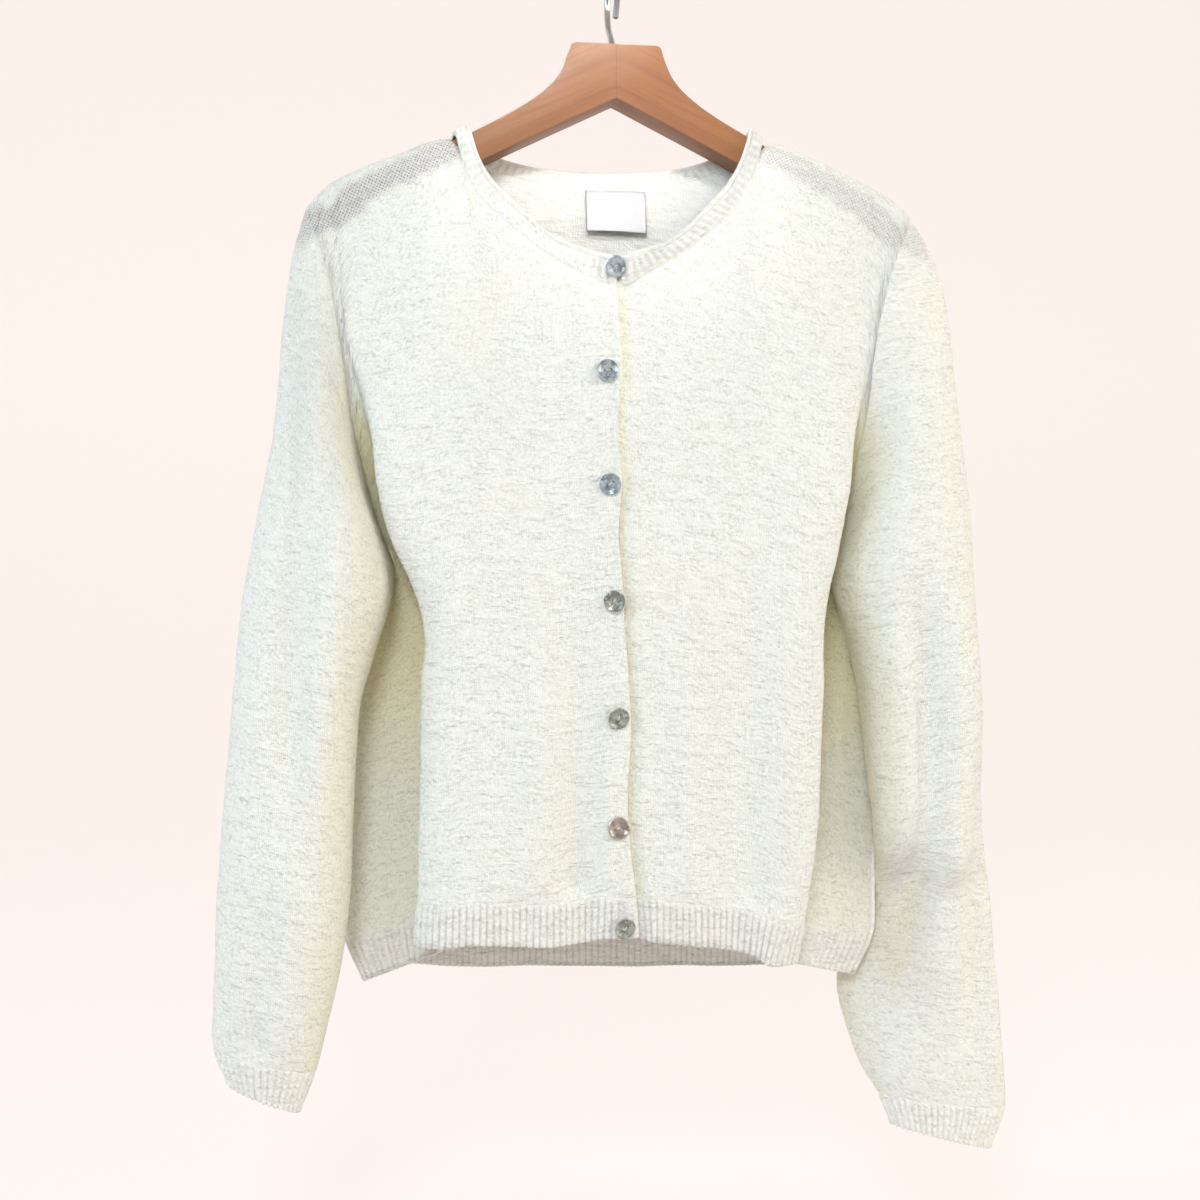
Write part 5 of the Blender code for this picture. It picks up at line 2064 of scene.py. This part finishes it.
@dataclass
class Button:
    """A dished two-hole shell button with its thread."""

    number: int
    at: ButtonAt
    radius: float = 7.6
    thick: float = 2.4
    hole: float = 0.95
    hole_out: float = 2.1
    strand: float = 0.27
    shank: float = 1.1
    lip: float = 0.42

    def turning(self) -> Matrix:
        """How the button is turned from lying flat to facing the front.

        Returns:
            The turn.
        """
        facing = Matrix.Rotation(radians(90), 4, "X")
        yaw = Matrix.Rotation(radians(self.at.yaw), 4, "Z")
        return yaw @ Matrix.Rotation(radians(self.at.pitch), 4, "X") @ facing

    def place(self) -> Matrix:
        """Where the button stands: the middle of its solid."""
        low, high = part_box(f"button_{self.number}")
        return Matrix.Translation((low + high) / 2) @ self.turning()

    def build(self, shell: bpy.types.Material, thread: bpy.types.Material) -> None:
        """Makes the button and its thread.

        Args:
            shell: the button's finish.
            thread: the thread's finish.
        """
        name = f"button_{self.number}"
        disc = self.disc()
        bored = disc.modifiers.new("bored", "BOOLEAN")
        bored.operation, bored.solver = "DIFFERENCE", "EXACT"
        bored.object = cutter = self.bores()
        piece = frozen(disc, name)
        bpy.data.objects.remove(cutter)
        self.mark_dish(piece)
        piece.data.set_sharp_from_angle(angle=radians(38))
        piece.data.transform(self.place())
        dress(piece, shell, name + "_shell", name)
        dress(self.thread(), thread, name + "_shell")

    def disc(self) -> bpy.types.Object:
        """The turned disc with its rim and dish.

        Returns:
            The disc, lying flat at the origin.
        """
        half, rim = self.thick / 2, self.radius
        dish = rim * 0.72
        # From the middle of the dish over the rim to the middle of the back.
        profile = (
            (0, half * 0.3), (dish * 0.55, half * 0.32), (dish * 0.93, half * 0.42),
            (dish + 0.35, half * 0.7), (dish + 0.95, half), (rim - 0.8, half),
            (rim - 0.25, half * 0.72), (rim, half * 0.1), (rim - 0.3, -half * 0.55),
            (rim - 1.1, -half), (0, -half),
        )
        work = bmesh.new()
        line = [work.verts.new((out * MM, 0, up * MM)) for out, up in profile]
        edges = [work.edges.new(pair) for pair in zip(line, line[1:])]
        bmesh.ops.spin(work, geom=line + edges, cent=(0, 0, 0), axis=(0, 0, 1), angle=2 * pi,
                       steps=56, use_merge=True)
        bmesh.ops.remove_doubles(work, verts=work.verts, dist=WELD)
        bmesh.ops.recalc_face_normals(work, faces=work.faces)
        return piece_of(f"button_disc_{self.number}", work)

    def bores(self) -> bpy.types.Object:
        """The two round cutters of the thread holes.

        Returns:
            One object with both.
        """
        work = bmesh.new()
        turn = Matrix.Rotation(radians(self.at.holes), 4, "Z")
        for side in (-1, 1):
            bmesh.ops.create_cone(
                work, cap_ends=True, segments=20, radius1=self.hole * MM, radius2=self.hole * MM,
                depth=4 * self.thick * MM,
                matrix=turn @ Matrix.Translation((side * self.hole_out * MM, 0, 0)))
        return piece_of(f"button_bores_{self.number}", work)

    def mark_dish(self, piece: bpy.types.Object) -> None:
        """Stores each point's share of the radius, which the shell's rings follow.

        Args:
            piece: the button, lying flat at the origin.
        """
        layer = piece.data.attributes.new("dish", "FLOAT", "POINT")
        outs = [vert.co.xy.length / (self.radius * MM) for vert in piece.data.vertices]
        layer.data.foreach_set("value", outs)

    def thread(self) -> bpy.types.Object:
        """Strands from hole to hole, the shank behind the button and the buttonhole's edges.

        Returns:
            The sewing as one piece, in its place.
        """
        shank = [(0, 0, -0.6 - 0.35 * k) for k in range(7)]
        tubes = self.strands() + [tube(f"shank_{self.number}", shank, self.shank)] + self.lips()
        made = joined(f"button_thread_{self.number}", tubes)
        made.data.transform(self.place())
        return made

    def strands(self) -> list[bpy.types.Object]:
        """Three strands that cross from hole to hole, the last one over the others.

        Returns:
            The strands, on the button lying flat at the origin.
        """
        turn = Matrix.Rotation(radians(self.at.holes), 3, "Z")
        made = []
        for k, (shift, lift) in enumerate(((-0.32, 0.3), (0.32, 0.35), (0.0, 0.6))):
            route = []
            for step in range(13):
                t = step / 12
                x = (2 * t - 1) * (self.hole_out + 0.1)
                up = -1.5 + (1.95 + lift) * sin(pi * t) ** 0.5
                route.append(turn @ Vector((x, shift * (0.4 + 0.6 * sin(pi * t)), up)))
            made.append(tube(f"strand_{self.number}_{k}", route, self.strand))
        return made

    def lips(self) -> list[bpy.types.Object]:
        """The two stitched edges of the buttonhole.

        Returns:
            The edges, behind the button lying flat at the origin.
        """
        made = []
        for side in (-1, 1):
            lip = [(5.5 * k / 4, side * (1.2 - 0.7 * (k / 4) ** 2), -1.75) for k in range(-4, 5)]
            made.append(tube(f"buttonhole_{self.number}_{side}", lip, self.lip))
        return made


@dataclass
class NeckLabel:
    """A bare satin label, sewn along its top inside the back of the neck."""

    height: float = 29.5
    lean: float = 0.8
    sunk: float = 1.9
    bow: float = 1.9
    thick: float = 0.4
    stitches: int = 15
    pitch: float = 2.85
    flat: tuple[float, float] = (0.043, 0.030)

    def build(self, satin: bpy.types.Material, thread: bpy.types.Material) -> None:
        """Makes the label and its row of stitches.

        Args:
            satin: the label's finish.
            thread: the stitches' finish.
        """
        patch = self.patch()
        wall = Wall("neck_label", patch, Edges(0.15, 0.15, 0.15, 0.15), thick=self.thick)
        piece = dress(wall.build(), satin, "neck_label_satin", "neck_label")
        dress(self.sewing(patch.points[0, 0]), thread, "neck_label_satin")

    def patch(self) -> Patch:
        """The label's face, bowed away from the back and a little askew.

        Returns:
            The fine surface.
        """
        low, high = (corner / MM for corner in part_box("neck_label"))
        down, across = np.linspace(0, self.height, 24), np.linspace(0, high.x - low.x, 34)
        share, side = (down / self.height)[:, None], (across / across[-1])[None]
        points = np.zeros((len(down), len(across), 3))
        points[..., 0] = low.x + across[None] + self.lean * share
        points[..., 1] = high.y - self.sunk - self.bow * share ** 1.6 - 0.4 * side * share
        points[..., 2] = (low.z + self.height - 1 - down[:, None] - 0.9 * (side - 0.5) * share
                          - 0.6 * share * (2 * side - 1) ** 2)
        normals = np.zeros(points.shape)
        normals[..., 1] = -1
        return Patch(points, normals, down, across)

    def sewing(self, corner: Grid) -> bpy.types.Object:
        """The row of stitches below the label's upper edge.

        Args:
            corner: the place of its upper corner.

        Returns:
            The stitches as one piece.
        """
        made = []
        for k in range(self.stitches):
            x, y, z = corner + (1.2, -0.28, -1.3)
            x += k * self.pitch
            route = [(x, y + 0.2, z), (x + 0.3, y, z), (x + 1.5, y, z + 0.1),
                     (x + 1.8, y + 0.2, z + 0.1)]
            made.append(tube(f"stitch_{k}", route, 0.16, 1))
        return joined("label_stitches", made)


@dataclass
class Hanger:
    """The wooden bar with its head, and the bent wire hook."""

    middle: float = HANGER_MIDDLE
    thick: float = 26.0
    round: float = 3.4
    wire: float = 4.4
    loop: float = 24.2
    opening: float = radians(50)

    def build(self, wood: bpy.types.Material, chrome: bpy.types.Material) -> None:
        """Makes the bar and the hook.

        Args:
            wood: the bar's finish.
            chrome: the hook's finish.
        """
        dress(self.bar(), wood, "hanger_bar_wood", "hanger_bar")
        dress(self.hook(), chrome, "hanger_hook_chrome", "hanger_hook")

    def outline(self) -> list[tuple[float, float]]:
        """Half the bar's outline, smooth along the arms and crisp at the head's flat top.

        Returns:
            Pairs of a distance out and a height.
        """
        top = [(row.out, row.height) for row in WOOD_TOP]
        under = [(row.out, row.height) for row in WOOD_UNDER]
        crown = [tuple(through(top[1:], at / 4)) for at in range(4 * (len(top) - 2) + 1)]
        foot = [tuple(through(under[:5], at / 4)) for at in range(17)]
        return crown + foot

    def bar(self) -> bpy.types.Object:
        """A disc moved onto the outline, given its thickness and rounded along its edges.

        Returns:
            The bar.
        """
        half = self.outline()
        whole = half + [(0, WOOD_UNDER[-1].height)] + [(-x, z) for x, z in reversed(half)]
        work = bmesh.new()
        ring = bmesh.ops.create_circle(work, cap_ends=True, segments=len(whole), radius=1)["verts"]
        for vert, (x, z) in zip(ring, whole):
            vert.co = Vector((x + self.middle, -self.thick / 2, z)) * MM
        pushed = bmesh.ops.extrude_face_region(work, geom=list(work.faces))["geom"]
        back = [part for part in pushed if isinstance(part, bmesh.types.BMVert)]
        bmesh.ops.translate(work, verts=back, vec=(0, self.thick * MM, 0))
        bmesh.ops.recalc_face_normals(work, faces=work.faces)
        rims = [edge for edge in work.edges if edge.calc_face_angle(0) > radians(60)
                and abs(edge.verts[0].co.y - edge.verts[1].co.y) < 1e-6]
        bmesh.ops.bevel(work, geom=rims, offset=self.round * MM, offset_type="OFFSET", segments=5,
                        profile=0.5, affect="EDGES", material=-1, clamp_overlap=True)
        bmesh.ops.triangulate(work, faces=[face for face in work.faces if len(face.verts) > 4])
        for face in work.faces:
            face.smooth = True
        made = piece_of("hanger_bar", work)
        made.data.set_sharp_from_angle(angle=radians(35))
        return made

    def hook(self) -> bpy.types.Object:
        """The wire from its tip over the loop and down into the bar.

        Returns:
            The hook.
        """
        start, end = pi + self.opening, -self.opening
        middle = -(self.loop - self.wire / 2)
        turns = np.linspace(start, end, 73)
        route = [(0, self.loop * cos(t), middle + self.loop * sin(t)) for t in turns]
        bend = [route[-5], route[-1], (0, 6.6, -48.2), (0, 1.4, -54), (0, 0, -60), (0, 0, -66)]
        route += [tuple(through(bend, 1 + k / 6)) for k in range(1, 25)] + [(0, 0, -71.5)]
        return tube("hanger_hook", route, self.wire / 2, 5)


class Lamp(NamedTuple):
    """A square soft light: its place and aim in metres, side, watts, colour and fan in degrees."""

    name: str
    place: tuple[float, float, float]
    aim: tuple[float, float, float]
    size: float
    power: float
    colour: Colour
    spread: float = 180


# A cool key light from the upper left, a small one into the neck, and a soft fill from either side.
CHEST = (0.0, 0.0, -0.38)
LAMPS = rows_of(
    Lamp,
    ("key", (-0.6, -2.3, 0.6), CHEST, 0.6, 29, (0.77, 0.895, 1.0)),
    ("crown", (0, -0.75, 0.35), (0, 0.05, -0.135), 0.06, 0.085, (1, 0.98, 0.94), 22),
    ("cool", (-2.1, -0.9, 0.1), CHEST, 1.0, 16, (0.44, 0.73, 1.0)),
    ("warm", (2.0, -1.1, 0.3), CHEST, 1.2, 23, (1.0, 0.97, 0.90)))


@dataclass
class Studio:
    """The pale floor and backdrop, the soft lights and the camera, in metres."""

    camera_place: tuple[float, float, float] = (-0.1798, -1.2183, -0.442)
    camera_turn: float = -8.0
    lens: float = 52.94
    sensor: float = 36.0
    floor_height: float = -0.93
    floor_start: float = -14.0
    floor_width: float = 40.0
    floor_length: float = 25.0
    straight: float = 17.1
    bend: float = 1.2
    pale: Colour = (0.95, 0.875, 0.858)
    below: Colour = (0.88, 0.80, 0.63)
    above: Colour = (0.66, 0.61, 0.51)
    ambient: float = 0.9

    def build(self) -> None:
        """Sets the whole studio."""
        bpy.context.scene.view_settings.view_transform = "Standard"
        self.sweep()
        self.lights()
        self.camera()

    def sweep(self) -> None:
        """A floor that rises behind into a backdrop."""
        work = bmesh.new()
        bmesh.ops.create_grid(work, x_segments=2, y_segments=200, size=0.5)
        for vert in work.verts:
            run = (vert.co.y + 0.5) * self.floor_length
            turn = min(max((run - self.straight) / self.bend, 0), pi / 2)
            rise = max(run - self.straight - self.bend * pi / 2, 0)
            vert.co = Vector((
                vert.co.x * self.floor_width,
                self.floor_start + min(run, self.straight) + self.bend * sin(turn),
                self.floor_height + self.bend * (1 - cos(turn)) + rise,
            ))
        for face in work.faces:
            face.smooth = True
        floor = piece_of("floor", work)
        s = Shader("floor_paint")
        grain = s.cloud(s.places(), 90.0, 2.0, 0.5)
        tone = s.blend(s.span(grain, 0.3, 0.8, 0, 0.04), tuple(part * 0.4 for part in self.pale),
                       tuple(part * 0.37 for part in self.pale))
        behind = s.node("SeparateXYZ", Vector=s.places()).outputs["Y"]
        floor.data.materials.append(s.end(
            tone, None, Roughness=0.95, Specular_IOR_Level=0.1,
            Emission_Color=(*self.pale, 1), Emission_Strength=s.span(behind, -0.9, 0.3, 0.15, 0.69)))

    def light(self, lamp: Lamp) -> None:
        """Adds a lamp.

        Args:
            lamp: its row in the table.
        """
        data = bpy.data.lights.new(lamp.name, "AREA")
        data.spread = radians(lamp.spread)
        data.energy, data.size, data.color = lamp.power, lamp.size, lamp.colour
        made = bpy.data.objects.new(lamp.name, data)
        made.location = lamp.place
        way = Vector(lamp.aim) - Vector(lamp.place)
        made.rotation_euler = way.to_track_quat("-Z", "Y").to_euler()
        bpy.context.scene.collection.objects.link(made)

    def lights(self) -> None:
        """The lamps, and pale surroundings that are warmer from below."""
        for lamp in LAMPS:
            self.light(lamp)
        world = bpy.data.worlds.new("surroundings")
        world.use_nodes = True
        tree = world.node_tree
        way = tree.nodes.new("ShaderNodeSeparateXYZ")
        tree.links.new(tree.nodes.new("ShaderNodeTexCoord").outputs["Generated"], way.inputs[0])
        fade = tree.nodes.new("ShaderNodeValToRGB")
        for stop, place, colour in zip(fade.color_ramp.elements, (0.3, 0.75), (self.below, self.above)):
            stop.position, stop.color = place, (*colour, 1)
        tree.links.new(way.outputs["Z"], fade.inputs["Fac"])
        tree.links.new(fade.outputs["Color"], tree.nodes["Background"].inputs["Color"])
        tree.nodes["Background"].inputs["Strength"].default_value = self.ambient
        bpy.context.scene.world = world

    def camera(self) -> None:
        """The camera, level and a little to the left of the middle."""
        data = bpy.data.cameras.new("camera")
        data.sensor_width, data.lens = self.sensor, self.lens
        eye = bpy.data.objects.new("camera", data)
        eye.location = self.camera_place
        eye.rotation_euler = (radians(90), 0, radians(self.camera_turn))
        bpy.context.scene.collection.objects.link(eye)
        bpy.context.scene.camera = eye


SHELL_SHADES = {
    "blue": ShellFinish((0.36, 0.40, 0.44), (0.72, 0.80, 0.88), (0.13, 0.16, 0.19)),
    "green": ShellFinish((0.33, 0.345, 0.30), (0.66, 0.70, 0.62), (0.13, 0.14, 0.12)),
    "brown": ShellFinish((0.40, 0.33, 0.29), (0.76, 0.66, 0.60), (0.17, 0.13, 0.11)),
}


def garment(knit: bpy.types.Material, rib: bpy.types.Material, hem: bpy.types.Material) -> None:
    """Builds the fronts, the back, the sleeves and the neckband.

    Args:
        knit: the stockinette.
        rib: the ribbed knit of the back, the cuffs and the neckband.
        hem: the ribbed knit of the fronts' hems, a little darker: painted shade for the dimmer light
            there.
    """
    body = BodyLie()
    free, seam = CLOTH / 2, SEAM_ROUND
    Panel("front_right", body.over, Edges(seam, seam, free, seam), (0.245, 0.56), 0.118,
          seed=1.0, creases=FRONT_RIGHT_CREASES, rolled="first").build(knit, hem)
    Panel("front_left", body.under, Edges(seam, seam, seam, free), (0.255, 0.56), 0.123,
          grain=-1, seed=4.0, creases=FRONT_LEFT_CREASES).build(knit, hem)
    Panel("back", body.back, Edges(seam, seam, seam, seam), (0.44, 0.58), 0.215,
          grain=75, seed=7.0).build(knit, rib)
    Sleeve("sleeve_right", "cuff_right", SleeveLie(WEARERS_RIGHT, SLEEVE_RIGHT, DENTS_RIGHT),
           (0.26, 0.52), 0.10, seed=11.0, creases=SLEEVE_RIGHT_CREASES).build(knit, rib)
    Sleeve("sleeve_left", "cuff_left", SleeveLie(WEARERS_LEFT, SLEEVE_LEFT, DENTS_LEFT),
           (0.27, 0.56), 0.11, seed=15.0, creases=SLEEVE_LEFT_CREASES).build(knit, rib)
    Neckband(body.band()).build(rib)


def main() -> None:
    """Builds every piece, then the studio."""
    logging.basicConfig(level=logging.INFO, format="%(message)s")
    knit = KnitFinish(Stitch.PLAIN).material("brushed_knit")
    rib = KnitFinish(Stitch.RIB).material("ribbed_knit")
    # The fronts' hems get a darker copy of the rib knit: painted shade.
    hem = KnitFinish(Stitch.RIB, light=(0.915, 0.90, 0.86), shade=(0.63, 0.615, 0.57))
    garment(knit, rib, hem.material("hem_knit_painted_shade"))
    thread = YarnFinish((0.66, 0.65, 0.60)).material("thread")
    for number, at in enumerate(BUTTONS, 1):
        Button(number, at).build(SHELL_SHADES[at.shade].material(f"shell_{number}"), thread)
    NeckLabel().build(SatinFinish().material("satin"), thread)
    Hanger().build(WoodFinish().material("beech"), ChromeFinish().material("chrome"))
    Studio().build()


if __name__ == "__main__":
    main()
